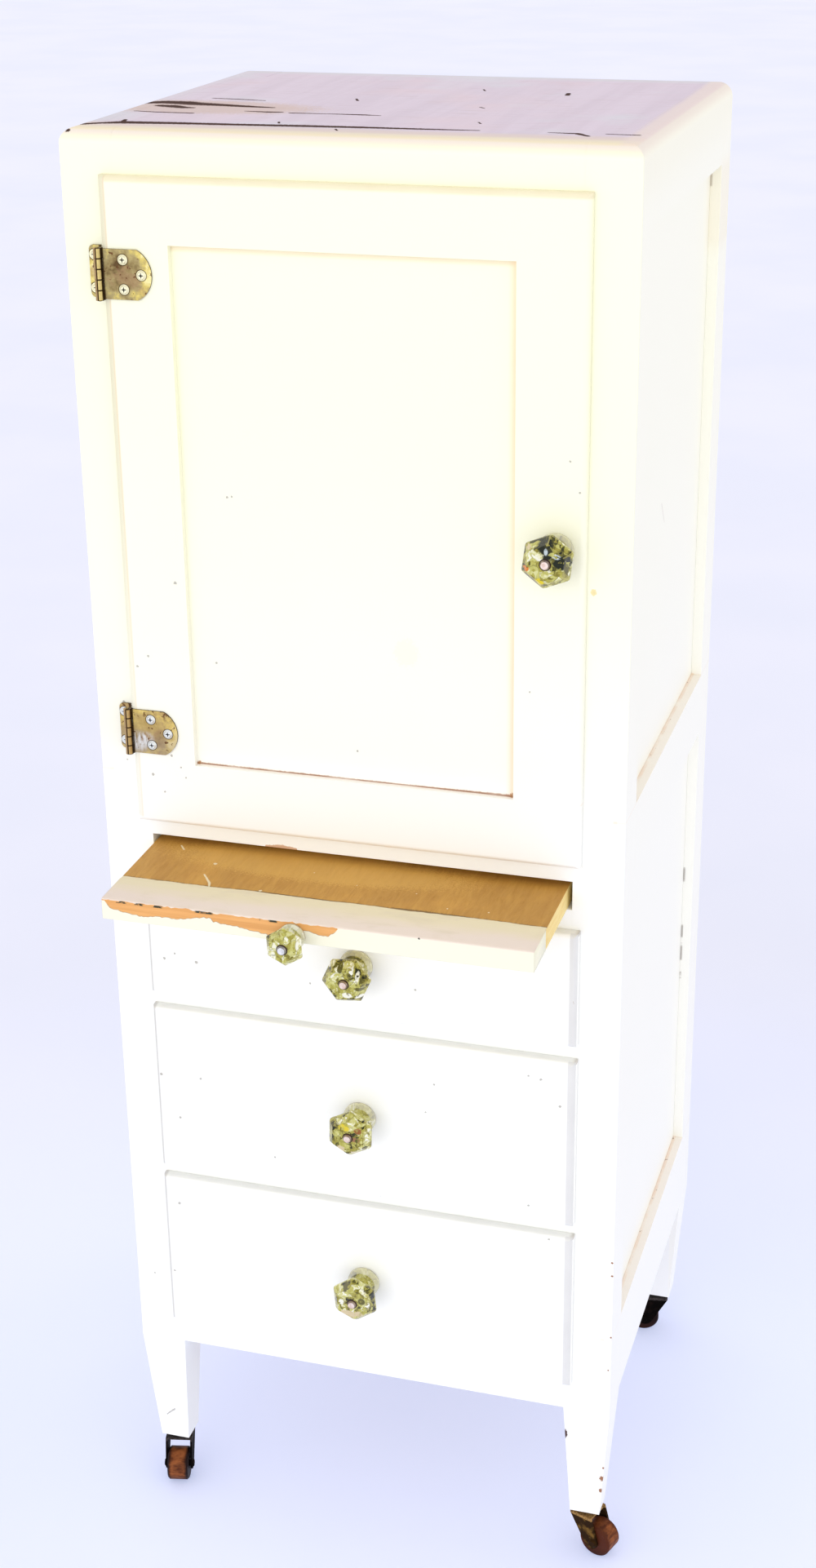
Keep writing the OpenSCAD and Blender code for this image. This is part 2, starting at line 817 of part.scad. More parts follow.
// fork: crown, two horns, the axle riveted through them, and the stem above
module caster_fork(c) {
    y0 = wheel_w / 2 + horn_gap;
    y1 = y0 + horn_t;
    color(iron) translate([c[0], c[1], 0]) rotate([0, 0, c[2]]) {
        block([-crown_back, -y1, crown_z - horn_t], [crown_front, y1, crown_z]);
        for (y = [y1, -y0]) translate([0, y, 0]) rotate([90, 0, 0]) linear_extrude(horn_t) horn_outline();
        translate([trail, y1 + 1.5, wheel_d / 2]) rotate([90, 0, 0]) {
            cylinder(r = axle_r, h = 2 * y1 + 3, $fn = 32);
            cylinder(r1 = 3, r2 = 4.5, h = 1.5, $fn = 32);
            translate([0, 0, 2 * y1 + 1.5]) cylinder(r1 = 4.5, r2 = 3, h = 1.5, $fn = 32);
        }
        translate([0, 0, crown_z]) cylinder(r = 6, h = 2.3, $fn = 32);
        translate([0, 0, crown_z]) cylinder(r = stem_r, h = socket_h - 6, $fn = 32);
    }
}

// turned wooden wheel with its edges eased
module caster_wheel(c) {
    r = wheel_d / 2;
    color(red_wood) translate([c[0], c[1], r]) rotate([0, 0, c[2]]) translate([trail, wheel_w / 2, 0])
        rotate([90, 0, 0]) difference() {
            union() {
                cylinder(r1 = r - wheel_ease, r2 = r, h = wheel_ease, $fn = 64);
                translate([0, 0, wheel_ease]) cylinder(r = r, h = wheel_w - 2 * wheel_ease, $fn = 64);
                translate([0, 0, wheel_w - wheel_ease])
                    cylinder(r1 = r, r2 = r - wheel_ease, h = wheel_ease, $fn = 64);
            }
            translate([0, 0, -1]) cylinder(r = axle_r + pin_gap, h = wheel_w + 2, $fn = 32);
        }
}

module caster_fork_fl() caster_fork(caster_at[0]);
module caster_fork_fr() caster_fork(caster_at[1]);
module caster_fork_rl() caster_fork(caster_at[2]);
module caster_fork_rr() caster_fork(caster_at[3]);
module caster_wheel_fl() caster_wheel(caster_at[0]);
module caster_wheel_fr() caster_wheel(caster_at[1]);
module caster_wheel_rl() caster_wheel(caster_at[2]);
module caster_wheel_rr() caster_wheel(caster_at[3]);

post_front_left();
post_front_right();
post_rear_left();
post_rear_right();
rail_top_front();
face_rails();
rail_bottom_front();
rails_back();
side_rails_left();
side_rails_right();
side_panels_left();
side_panels_right();
back_panel();
top_boards();
cupboard_floor();
shelf();
shelf_cleats();
board_runners();
drawer_runners();
runner_guides();
door_stiles();
door_rails();
door_panel();
hinge_door_leaves();
hinge_frame_leaves();
hinge_pins();
hinge_door_screws();
hinge_frame_screws();
door_knob();
door_knob_bolt();
door_catch();
board_panel();
board_front_band();
board_knob();
board_knob_screw();
drawer_1_front();
drawer_1_sides();
drawer_1_bottom();
drawer_1_knob();
drawer_1_bolt();
drawer_2_front();
drawer_2_sides();
drawer_2_bottom();
drawer_2_knob();
drawer_2_bolt();
drawer_3_front();
drawer_3_sides();
drawer_3_bottom();
drawer_3_knob();
drawer_3_bolt();
caster_sockets();
caster_fork_fl();
caster_fork_fr();
caster_fork_rl();
caster_fork_rr();
caster_wheel_fl();
caster_wheel_fr();
caster_wheel_rl();
caster_wheel_rr();
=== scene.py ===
"""A narrow painted cupboard on casters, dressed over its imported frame: paint, wood, brass, glass and iron.
Metres, Z up, front towards -Y, as in the frame."""
import json

import bmesh
import bpy
import numpy as np
from mathutils import Matrix, Vector

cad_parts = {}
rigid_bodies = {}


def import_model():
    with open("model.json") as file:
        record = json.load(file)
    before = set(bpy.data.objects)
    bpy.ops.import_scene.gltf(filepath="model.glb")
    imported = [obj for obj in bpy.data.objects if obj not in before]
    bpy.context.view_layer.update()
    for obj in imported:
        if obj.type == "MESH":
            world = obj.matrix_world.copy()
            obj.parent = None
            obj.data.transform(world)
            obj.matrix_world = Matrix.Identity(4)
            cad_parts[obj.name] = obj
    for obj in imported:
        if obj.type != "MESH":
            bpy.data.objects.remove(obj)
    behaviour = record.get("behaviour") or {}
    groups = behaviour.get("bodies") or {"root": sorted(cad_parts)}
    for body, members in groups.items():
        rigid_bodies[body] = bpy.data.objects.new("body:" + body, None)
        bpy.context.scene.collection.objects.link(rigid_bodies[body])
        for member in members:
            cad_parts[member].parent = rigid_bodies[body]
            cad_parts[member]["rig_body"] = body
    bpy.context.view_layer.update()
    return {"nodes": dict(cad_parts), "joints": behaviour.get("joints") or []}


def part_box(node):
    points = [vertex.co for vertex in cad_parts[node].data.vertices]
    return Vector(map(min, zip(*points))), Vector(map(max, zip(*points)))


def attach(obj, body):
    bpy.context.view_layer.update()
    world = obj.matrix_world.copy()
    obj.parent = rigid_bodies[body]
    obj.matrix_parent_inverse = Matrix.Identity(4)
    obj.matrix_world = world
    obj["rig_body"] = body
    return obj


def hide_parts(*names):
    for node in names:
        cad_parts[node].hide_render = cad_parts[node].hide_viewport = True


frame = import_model()
nodes = frame["nodes"]
scene = bpy.context.scene


# Room: a pale floor under soft studio light, seen from where the photograph was taken.
# The camera stands 1.67 m before the face and 1.53 m up, turned 16 degrees and pitched down 23.5.

class Tone:
    """One socket of a finish. Arithmetic on it adds Math nodes."""

    def __init__(self, finish, socket):
        self.finish, self.socket = finish, socket

    def math(self, operation, *values):
        return self.finish.node("Math", [self, *values], operation=operation)

    def __add__(self, other):
        return self.math("ADD", other)

    def __sub__(self, other):
        return self.math("SUBTRACT", other)

    def __rsub__(self, other):
        return self.finish.node("Math", [other, self], operation="SUBTRACT")

    def __mul__(self, other):
        return self.math("MULTIPLY", other)

    def __truediv__(self, other):
        return self.math("DIVIDE", other)

    def __abs__(self):
        return self.math("ABSOLUTE")

    __radd__, __rmul__ = __add__, __mul__

    def least(self, other):
        return self.math("MINIMUM", other)

    def most(self, other):
        return self.math("MAXIMUM", other)

    def step(self, start, end):
        """0 at start and 1 at end, smooth between; start may be the larger."""
        if start > end:
            return 1 - self.step(end, start)
        return self.finish.node("MapRange", {"Value": self, "From Min": start, "From Max": end},
                                interpolation_type="SMOOTHSTEP")

    def between(self, start, end, soft):
        """1 from start to end, falling to 0 over a soft margin outside them."""
        return self.step(start - soft, start) * self.step(end + soft, end)


class Finish:
    """A material whose nodes are written as expressions on Tones."""

    def __init__(self, name):
        self.material = bpy.data.materials.new(name)
        self.material.use_nodes = True
        self.tree = self.material.node_tree
        self.tree.nodes.clear()
        self.place = self.node("TexCoord", output="Object")
        self.x, self.y, self.z = (self.node("SeparateXYZ", [self.place], output=axis) for axis in "XYZ")
        self.fray = self.noise(700.0, 2, 0.5)

    def node(self, kind, values=(), output=0, **settings):
        """Adds one node: its settings first, then the values or links of its sockets, by order or by name."""
        made = self.tree.nodes.new("ShaderNode" + kind)
        for key, value in settings.items():
            if key == "stops":
                ramp = made.color_ramp
                while len(ramp.elements) < len(value):
                    ramp.elements.new(1.0)
                for element, (at, colour) in zip(ramp.elements, value):
                    element.position, element.color = at, (*colour, 1.0)
            else:
                setattr(made, key, value)
        pairs = values.items() if isinstance(values, dict) else enumerate(values)
        for key, value in pairs:
            socket = made.inputs[key]
            if isinstance(value, Tone):
                self.tree.links.new(value.socket, socket)
            elif isinstance(value, (tuple, list)) and socket.type == "RGBA":
                socket.default_value = (*value, 1.0)
            else:
                socket.default_value = value
        return Tone(self, made.outputs[output])

    def vector(self, operation, values, output=0):
        return self.node("VectorMath", values, output=output, operation=operation)

    def mix(self, amount, under, over):
        """The colour under, with amount of the colour over on it."""
        return self.node("Mix", {0: amount, 6: under, 7: over}, output=2, data_type="RGBA")

    def coats(self, colour, *coats):
        """The colour with coats laid on it in order, each a pair of how much of it shows and its colour."""
        for amount, over in coats:
            colour = self.mix(amount, colour, over)
        return colour

    def noise(self, scale, detail=4.0, rough=0.5, shift=0.0, bend=0.0):
        """Noise from 0 to 1, of so many lumps to a metre along each axis."""
        scale = scale if isinstance(scale, tuple) else (scale,) * 3
        place = self.node("Mapping", {"Vector": self.place, "Scale": scale,
                                      "Location": (shift, shift * 0.7, shift * 1.3)})
        return self.node("TexNoise", {"Vector": place, "Scale": 1.0, "Detail": detail, "Roughness": rough,
                                      "Distortion": bend})

    def trait(self, name):
        """A value that the mesh carries."""
        return self.node("Attribute", output="Fac", attribute_name=name)

    def spot(self, centre, radius, ragged=0.35):
        """1 inside a ragged blot at a point of the object, 0 outside; radius in metres, one or one per axis."""
        radius = radius if isinstance(radius, tuple) else (radius,) * 3
        off = self.vector("DIVIDE", [self.vector("SUBTRACT", [self.place, centre]), radius])
        return (self.vector("LENGTH", [off], "Value") + (self.fray - 0.5) * (2 * ragged)).step(1.15, 0.8)

    def away(self, centre):
        """The distance from a point of the object, in metres."""
        return self.vector("DISTANCE", [self.place, centre], "Value")

    def nearest(self, places):
        """How far the nearest of some places (x, y, z, radius) lies, as a share of its radius."""
        found = None
        for *centre, radius in places:
            gap = self.away(centre) / radius
            found = gap if found is None else found.least(gap)
        return found

    def specks(self, places, ragged=0.5):
        """1 in small ragged specks at places (x, y, z, radius), 0 elsewhere."""
        return (self.nearest(places) + (self.fray - 0.5) * (2 * ragged)).step(1.2, 0.7)

    def strokes(self, lines, ragged=0.5):
        """1 along lines through points (x, y, z, half width), ragged at their edges, 0 away from them."""
        drawn = None
        for a, b in (pair for line in lines for pair in zip(line, line[1:])):
            start, way = Vector(a[:3]), Vector(b[:3]) - Vector(a[:3])
            off = self.vector("SUBTRACT", [self.place, start])
            share = self.vector("DOT_PRODUCT", [off, way / way.length_squared], "Value").least(1.0).most(0.0)
            gap = self.vector("DISTANCE", [off, self.vector("SCALE", {0: way, "Scale": share})], "Value")
            wide = share * (b[3] - a[3]) + a[3]
            mark = (gap / (wide * (self.fray * (2 * ragged) + (1 - ragged)))).step(1.35, 0.65)
            drawn = mark if drawn is None else drawn.most(mark)
        return drawn

    def bumps(self, height, depth):
        """A normal from a height map, depth in metres for a height of 1."""
        return self.node("Bump", {"Height": height, "Distance": depth, "Strength": 1.0}, output="Normal")

    def done(self, colour, rough, normal, **fixed):
        """Ends the finish in one Principled shader; fixed holds its other sockets, named with _ for a space."""
        values = {"Base Color": colour, "Roughness": rough, "Normal": normal}
        values.update({key.replace("_", " "): value for key, value in fixed.items()})
        shader = self.node("BsdfPrincipled", values)
        made = self.tree.nodes.new("ShaderNodeOutputMaterial")
        self.tree.links.new(shader.socket, made.inputs["Surface"])
        return self.material


def solid(name, points, faces, finish, crease=0.5, traits=None):
    """A new mesh object at the origin from arrays of points and of faces; traits are values at its points,
    or at its faces where there is one for each face."""
    mesh = bpy.data.meshes.new(name)
    mesh.from_pydata(np.asarray(points, float).reshape(-1, 3).tolist(), [], np.asarray(faces, int).tolist())
    mesh.update()
    mesh.shade_smooth()
    mesh.set_sharp_from_angle(angle=crease)
    mesh.materials.append(finish)
    for key, values in (traits or {}).items():
        kind = "FACE" if np.size(values) == len(mesh.polygons) else "POINT"
        mesh.attributes.new(key, "FLOAT", kind).data.foreach_set("value", np.ravel(values).astype(np.float32))
    made = bpy.data.objects.new(name, mesh)
    scene.collection.objects.link(made)
    return made


def floor_cloth():
    """A pale sheet that glows a little, more so round the cupboard, as under a studio's light tent."""
    cloth = Finish("pale_floor")
    weave = cloth.noise(1.6, 3, 0.5)
    glow = cloth.mix(cloth.away((0.0, 0.1, 0.0)).step(1.1, 0.3), (0.27, 0.305, 0.38), (0.275, 0.34, 0.53))
    base = cloth.mix(weave.step(0.3, 0.7), (0.60, 0.59, 0.65), (0.64, 0.62, 0.67))
    return cloth.done(base, 0.9 + 0.05 * weave, cloth.bumps(weave, 0.002), Emission_Color=glow,
                      Emission_Strength=1.0)


reach = 40.0
floor = solid("floor", [(-reach, -reach, 0), (reach, -reach, 0), (reach, reach, 0), (-reach, reach, 0)],
              [(0, 1, 2, 3)], floor_cloth())

# The studio is brightest behind the camera and to its right, and a little lilac overhead.
world = bpy.data.worlds.new("studio")
scene.world = world
world.use_nodes = True
links, add = world.node_tree.links, world.node_tree.nodes.new
direction, tone = add("ShaderNodeTexCoord"), None
for axis, start, end, colour in (((-0.62, 0.78, 0.0), -0.2, 0.6, (0.89, 0.87, 0.95)),
                                 ((0.0, 0.0, 1.0), 0.25, 1.0, (0.72, 0.70, 0.74))):
    along, turn, blend = add("ShaderNodeVectorMath"), add("ShaderNodeMapRange"), add("ShaderNodeMix")
    along.operation, turn.interpolation_type, blend.data_type = "DOT_PRODUCT", "SMOOTHSTEP", "RGBA"
    along.inputs[1].default_value = axis
    turn.inputs["From Min"].default_value, turn.inputs["From Max"].default_value = start, end
    links.new(direction.outputs["Generated"], along.inputs[0])
    links.new(along.outputs["Value"], turn.inputs["Value"])
    links.new(turn.outputs[0], blend.inputs[0])
    blend.inputs[6].default_value, blend.inputs[7].default_value = (1.34, 1.32, 1.24, 1.0), (*colour, 1.0)
    if tone is not None:
        links.new(tone, blend.inputs[6])
    tone = blend.outputs[2]
links.new(tone, world.node_tree.nodes["Background"].inputs["Color"])

# One broad soft lamp behind the camera fills the front.
key_data = bpy.data.lights.new("key", "SUN")
key_data.energy, key_data.color, key_data.angle = 0.60, (1.0, 0.99, 0.96), 0.7
key = bpy.data.objects.new("key", key_data)
key.rotation_mode = "QUATERNION"
key.rotation_quaternion = Vector((0.08, 0.95, -0.18)).to_track_quat("-Z", "Y")
scene.collection.objects.link(key)

camera_data = bpy.data.cameras.new("camera")
camera_data.lens, camera_data.sensor_width = 52.79, 36.0
camera_data.shift_x, camera_data.shift_y = -0.01249, 0.00239
camera = bpy.data.objects.new("camera", camera_data)
camera_place = (0.5516, -1.79275, 1.5302)
right, ahead = Vector((0.9606, 0.27778, -0.00919)), Vector((-0.25832, 0.88013, -0.3983)).normalized()
right = (right - right.dot(ahead) * ahead).normalized()
turn = Matrix((right, right.cross(ahead), -ahead)).transposed().to_4x4()
camera.matrix_world = Matrix.Translation(camera_place) @ turn
scene.collection.objects.link(camera)
scene.camera = camera
scene.view_settings.view_transform = "Standard"


# Carcase: square posts that run down into tapered legs, with rails tenoned between them and flush with their
# faces, and plywood panels let into their grooves. Pine under several coats of enamel, cream above and
# whiter below. The flat of the top has worn to a lilac grey and cracked along its joints.

X_OUT, FACE_Y, TOP_Z = 0.2285, -0.12475, 1.295
# The side panels' faces, the tops of the rails under them, the seam at their rear, and the rail over the board.
PANEL_X, SIDE_LEDGES, SEAM_Y, BOARD_RAIL = X_OUT - 0.0095, (0.762, 0.253), 0.22725, (0.700, 0.7185)
LEG_TOP, LEG_TAPER, EDGE_R = 0.171, 9 / 124, 0.012
SCRATCH_BROWN, GREY_FLECK = (0.055, 0.016, 0.006), (0.42, 0.40, 0.36)

# The cracks and chips of the top, as lines over its flat: x, distance behind the face, half width, in mm.
TOP_CRACKS = (
    ((-216, 24, 4.4), (-206, 31, 4.0), (-191, 38, 7.0), (-150, 42, 6.0), (-100, 44, 5.2), (-50, 47, 5.4),
     (0, 49, 4.6), (50, 49.5, 3.4), (92, 51, 1.6)),
    ((146, 51, 1.0), (168, 50, 3.0), (179, 38, 1.8)), ((-191, 38, 3.0), (-195, 54, 1.6)),
    ((190, 52, 1.2), (214, 51, 2.0)),
    ((-217, 158, 7.0), (-205, 163, 8.5), (-188, 162, 10.0), (-176, 158, 8.5), (-150, 154, 6.0),
     (-128, 150, 4.8), (-106, 147, 2.2)),
    ((-120, 122, 1.2), (-100, 120, 3.2), (-90, 121, 2.4)),
    ((-80, 118, 2.2), (-50, 119.5, 1.4), (-20, 119, 2.8), (-6, 118, 1.0)),
    ((-201, 141, 5.0), (-190, 139, 7.0), (-178, 133, 5.0), (-170, 133, 2.6)),
    ((-208, 105, 1.4), (-192, 102, 2.0), (-158, 101, 2.2)),
    ((-176, 196, 1.4), (-150, 193, 2.2), (-128, 189, 1.2)), ((107, 288, 1.8), (109, 274, 2.2)),
    ((-57, 216, 0.9), (-52, 204, 1.2)), ((-72, 66, 0.9), (-69, 58, 0.9)), ((-16, 36, 0.9), (-12, 28, 0.8)),
    ((80, 96, 0.8), (84, 88, 0.8)), ((58, 184, 1.1), (63, 178, 0.8)), ((30, 300, 0.8), (34, 290, 0.8)))


def on_flat(z, marks):
    """Places in metres at height z, from (x, distance behind the face, radius) in mm."""
    return [(x / 1e3, FACE_Y + d / 1e3, z, r / 1e3) for x, d, r in marks]


def on_plane(y, marks):
    """Places in metres on the upright plane at y, from (x, height, radius) in mm."""
    return [(x / 1e3, y, z / 1e3, r / 1e3) for x, z, r in marks]


def on_post(marks):
    """Places like those on the face's plane, but drawn back with the taper of the legs."""
    return [(x, y + max(0.0, LEG_TOP - z) * LEG_TAPER, z, r) for x, y, z, r in on_plane(FACE_Y, marks)]


def top_coat(paint):
    """The colour of the flat of the top: lilac grey, streaked from front to back, pinkish at the front edge,
    tan in a stain round the chips at the left, greyer at the left and back edges."""
    cloud, streak = paint.noise((7.0, 5.0, 7.0), 3, 0.6), paint.noise((60.0, 4.0, 60.0), 3, 0.6, bend=0.5)
    patch, fine = paint.noise((9.0, 7.0, 9.0), 3, 0.6, 3.0), paint.noise((26.0, 150.0, 26.0), 4, 0.65, 8.0)
    behind = paint.y - FACE_Y
    front = behind + cloud * 0.012
    outer = (paint.x + X_OUT + cloud * 0.03).step(0.05, 0.012).most(behind.step(0.365, 0.392))
    return paint.coats(
        paint.mix(streak.step(0.2, 0.8), (0.70, 0.59, 0.68), (0.77, 0.66, 0.755)),
        (cloud.step(0.5, 0.72) * 0.6, (0.80, 0.62, 0.66)),
        (patch.step(0.52, 0.7) * 0.6, (0.72, 0.73, 0.78)),
        (fine.step(0.54, 0.74) * 0.4, (0.55, 0.42, 0.44)),
        (outer * 0.6, (0.70, 0.72, 0.74)),
        (paint.spot((-0.165, FACE_Y + 0.140, TOP_Z), (0.100, 0.040, 0.05), 0.5) * 0.7, (0.66, 0.48, 0.37)),
        (front.step(0.052, 0.034) * 0.85, (0.79, 0.645, 0.56)),
        (front.step(0.033, 0.018), (0.90, 0.795, 0.57)),
        ((paint.x + cloud * 0.008).step(X_OUT - 0.020, X_OUT - EDGE_R) * 0.7, (0.90, 0.76, 0.66)),
        (paint.spot((-0.178, FACE_Y + 0.157, TOP_Z), (0.012, 0.005, 0.02), 0.6), (0.62, 0.22, 0.06)))


def cream_paint(name, marks, topped=False):
    """Old enamel: cream above and whiter below, brushed along the grain, with marks of its own: a function
    that gives pairs of a mask and the colour it lays on, in their order."""
    paint = Finish(name)
    cloud = paint.noise((3.1, 3.1, 2.3), 3, 0.55)
    height = (paint.z + (cloud - 0.5) * 0.2).step(0.55, 1.15)
    # The flanks of the side panels take a paler, less yellow tone than the face: one enamel, painted in two
    # tones as painted light, to balance the stronger light that falls on the face.
    flank = abs(paint.x).step(PANEL_X - 0.001, PANEL_X) * paint.y.step(FACE_Y + 0.0006, FACE_Y + 0.003)
    pale = paint.mix(height, (0.97, 0.97, 0.92), (0.97, 0.965, 0.855))
    colour = paint.coats(
        paint.mix(height, (0.945, 0.945, 0.935), (0.955, 0.955, 0.755)),
        ((paint.z + cloud * 0.03).step(0.83, 0.745), (0.955, 0.965, 0.945)),
        # Painted light: the rail over the board is painted whiter, against the shade of the door's lip and the
        # warm light the board throws up onto it.
        (paint.z.between(*BOARD_RAIL, 0.001), (0.965, 1.0, 1.0)),
        (cloud.step(0.55, 0.75) * 0.3, (0.945, 0.93, 0.78)),
        (flank, paint.mix(paint.z.step(1.235, 1.284) * 0.7, pale, (0.945, 0.92, 0.76))))
    relief = paint.noise((260.0, 260.0, 22.0), 3, 0.6) * 0.12 + paint.noise((26.0, 26.0, 9.0), 2, 0.5)
    rough = 0.36 + 0.1 * cloud
    if topped:
        lean = FACE_Y + 0.2 * TOP_Z
        front_edge = (paint.y + 0.2 * paint.z).step(lean + 0.004, lean - 0.004)
        flat = paint.z.step(TOP_Z - 0.0022, TOP_Z - 0.0007)
        hollow = paint.strokes([on_flat(TOP_Z, line) for line in TOP_CRACKS]) * flat
        # The top's roundover is tan, warmest at the front edge: yellowed paint, and painted shade where the
        # edge turns away from the light.
        colour = paint.coats(colour, (paint.z.step(TOP_Z - 0.0105, TOP_Z - 0.0025),
                                      paint.mix(front_edge, (0.89, 0.81, 0.71), (0.955, 0.86, 0.545))),
                             (flat, top_coat(paint)))
    colour = paint.coats(colour, *marks(paint))
    if topped:
        colour = paint.mix(hollow, colour, SCRATCH_BROWN)
        relief, rough = relief - hollow, rough + hollow * 0.55
    return paint.done(colour, rough, paint.bumps(relief, 0.00045), Specular_IOR_Level=0.4)


def carcase_marks(paint):
    """Tan on the ledges of the side rails, part dirt and part painted shade, with painted shade and dark dirt
    in the corners where they meet the panels; painted shade by the rear posts near the top; cracked paint in
    the rear corner, chips on the legs, and flecks.
    """
    across = abs(paint.x)
    dots, drift = paint.noise(160.0, 2, 0.5, shift=4.0), paint.noise(30.0, 3, 0.6, shift=7.0)
    # Each ledge: tan, part dirt and part painted shade; painted shade in the corner where it meets the panel,
    # with specks of dark dirt there.
    for level, tan in zip(SIDE_LEDGES, ((0.95, 0.88, 0.78), (0.95, 0.88, 0.80))):
        ledge = paint.z.between(level - 0.0003, level + 0.0003, 0.0004)
        yield ledge * across.between(PANEL_X, X_OUT, 0.0003) * (0.55 + 0.45 * drift), tan
        corner = paint.z.between(level - 0.001, level + 0.0011, 0.0006)
        corner = corner * across.between(PANEL_X - 0.0006, PANEL_X + 0.0022, 0.001)
        yield corner * drift.step(0.3, 0.65) * 0.4, (0.86, 0.62, 0.44)
        yield corner * dots.step(0.66, 0.70) * 0.7, (0.25, 0.15, 0.09)
    seam = across.between(PANEL_X - 0.0003, PANEL_X + 0.0016, 0.0003)
    seam = seam * paint.y.between(SEAM_Y - 0.0014, SEAM_Y, 0.0003)
    broken = paint.noise((1.0, 1.0, 55.0), 3, 0.65, shift=2.0)
    yield seam * paint.z.between(0.39, 0.56, 0.01) * broken.step(0.52, 0.60) * 0.5, (0.16, 0.12, 0.09)
    yield seam * paint.z.between(1.214, 1.228, 0.002) * 0.6, (0.20, 0.13, 0.07)
    # Painted shade, tan, on the panels beside the rear posts near the top.
    rear_post_shade = across.step(PANEL_X - 0.002, PANEL_X) * paint.y.step(0.20, 0.24)
    yield rear_post_shade * paint.z.between(1.17, 1.222, 0.02) * 0.5, (0.93, 0.86, 0.68)
    yield paint.spot((0.1870, FACE_Y + 0.0022, 0.140), (0.0022, 0.004, 0.0055), 0.6), (0.07, 0.03, 0.02)
    chips = ((227.2, 337, 1.1), (227.5, 323, 1.1), (228.0, 257, 1.0), (226.2, 221, 0.8), (222.1, 92.5, 3.0),
             (221.4, 77.5, 2.5), (223.2, 106, 1.2), (-184.4, 61, 2.0), (-186.5, 76, 1.2))
    yield paint.specks(on_post(chips), 0.6), (0.33, 0.15, 0.07)
    flecks = ((-204.6, 825, 1.2), (-206.9, 814, 1.0), (-205, 772, 0.8), (198.5, 956, 0.9), (-211.7, 244, 0.9),
              (-200, 790, 1.0), (119, 199, 1.3), (121.5, 200, 0.9))
    yield paint.specks(on_post(flecks), 0.7) * 0.8, GREY_FLECK
    yield paint.spot((0.198, FACE_Y, 0.956), 0.0026, 0.6) * 0.9, (0.86, 0.72, 0.36)
    yield paint.strokes([on_post(((-212, 73.2, 0.6), (-203.6, 81.4, 1.0)))], 0.8) * 0.8, GREY_FLECK
    stain = paint.strokes([on_post(((-82, 705.3, 0.8), (-68, 705.6, 2.2), (-55, 705.3, 1.0)))])
    yield stain * 0.9, (0.62, 0.36, 0.20)
    rubs = [[(PANEL_X, -0.034, 1.0516, 0.0009), (PANEL_X, -0.032, 1.038, 0.0006)],
            [(PANEL_X, 0.043, 0.981, 0.0009), (PANEL_X, 0.058, 0.961, 0.0006)]]
    yield paint.strokes(rubs, 0.9) * 0.35, (0.45, 0.36, 0.32)
    chip = [(-0.2273, FACE_Y + 0.004, 1.2862, 0.0010), (-0.2217, FACE_Y + 0.005, 1.2922, 0.0016)]
    yield paint.strokes([chip], 0.7), SCRATCH_BROWN


def eased(name, radius, finish):
    """A copy of a CAD node with its edges eased: doubles merged, flat faces made whole, then a Bevel of width
    radius, or radius(middles, directions) in metres, at each edge where faces meet at over 20 degrees."""
    mesh = nodes[name].data.copy()
    mesh.name = name + "_eased"
    work = bmesh.new()
    work.from_mesh(mesh)
    bmesh.ops.remove_doubles(work, verts=work.verts, dist=1e-6)
    bmesh.ops.dissolve_limit(work, angle_limit=0.004, verts=work.verts, edges=work.edges)
    fold = np.array([edge.calc_face_angle(0.0) for edge in work.edges])
    a, b = np.array([[tuple(end.co) for end in edge.verts] for edge in work.edges]).transpose(1, 0, 2)
    work.to_mesh(mesh)
    work.free()
    along = (b - a) / np.maximum(np.linalg.norm(b - a, axis=1), 1e-9)[:, None]
    widths = radius((a + b) / 2, along) if callable(radius) else radius
    widths = np.where(fold > np.radians(20), widths, 0.0)
    widest = float(widths.max())
    weights = mesh.attributes.new("bevel_weight_edge", "FLOAT", "EDGE")
    weights.data.foreach_set("value", widths / widest)
    mesh.materials.clear()
    mesh.materials.append(finish)
    mesh.shade_smooth()
    mesh.set_sharp_from_angle(angle=0.6)
    made = bpy.data.objects.new(name + "_eased", mesh)
    scene.collection.objects.link(made)
    bevel = made.modifiers.new("ease", "BEVEL")
    bevel.limit_method, bevel.width, bevel.segments = "WEIGHT", widest, 3
    made.modifiers.new("flat", "WEIGHTED_NORMAL")
    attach(made, nodes[name]["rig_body"])
    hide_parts(name)
    return made


def dressed(name, finish):
    """Puts a finish on a CAD node that keeps its own shape."""
    mesh = nodes[name].data
    mesh.materials.clear()
    mesh.materials.append(finish)


def post_edges(middles, along):
    """2 mm on the outer upright corners and on the legs, 0.2 mm elsewhere."""
    outer = (np.abs(middles[:, 0]) > X_OUT - 0.012) | (middles[:, 2] < LEG_TOP)
    return np.where((np.abs(along[:, 2]) > 0.9) & outer, 0.002, 0.0002)


def rail_edges(middles, along):
    """0.6 mm along a rail, and next to nothing where its end meets a post."""
    return np.where(np.abs(along[:, 2]) > 0.9, 0.0001, 0.0006)


carcase_paint = cream_paint("carcase_paint", carcase_marks, topped=True)
for name in ("post_front_left", "post_front_right", "post_rear_left", "post_rear_right"):
    eased(name, post_edges, carcase_paint)
for name in ("rail_top_front", "face_rails", "rail_bottom_front", "rails_back", "side_rails_left",
             "side_rails_right"):
    eased(name, rail_edges, carcase_paint)
for name in ("side_panels_left", "side_panels_right"):
    dressed(name, carcase_paint)


# Top: three boards edge to edge, let in flush between the rails and painted with them, so that only
# the cracks in the paint show where one board ends.

eased("top_boards", 0.0005, carcase_paint)


# Inside and back: bare pine and plywood, as they came from the saw: the back, the cupboard's floor and
# shelf, and the strips that carry and guide the drawers and the board.

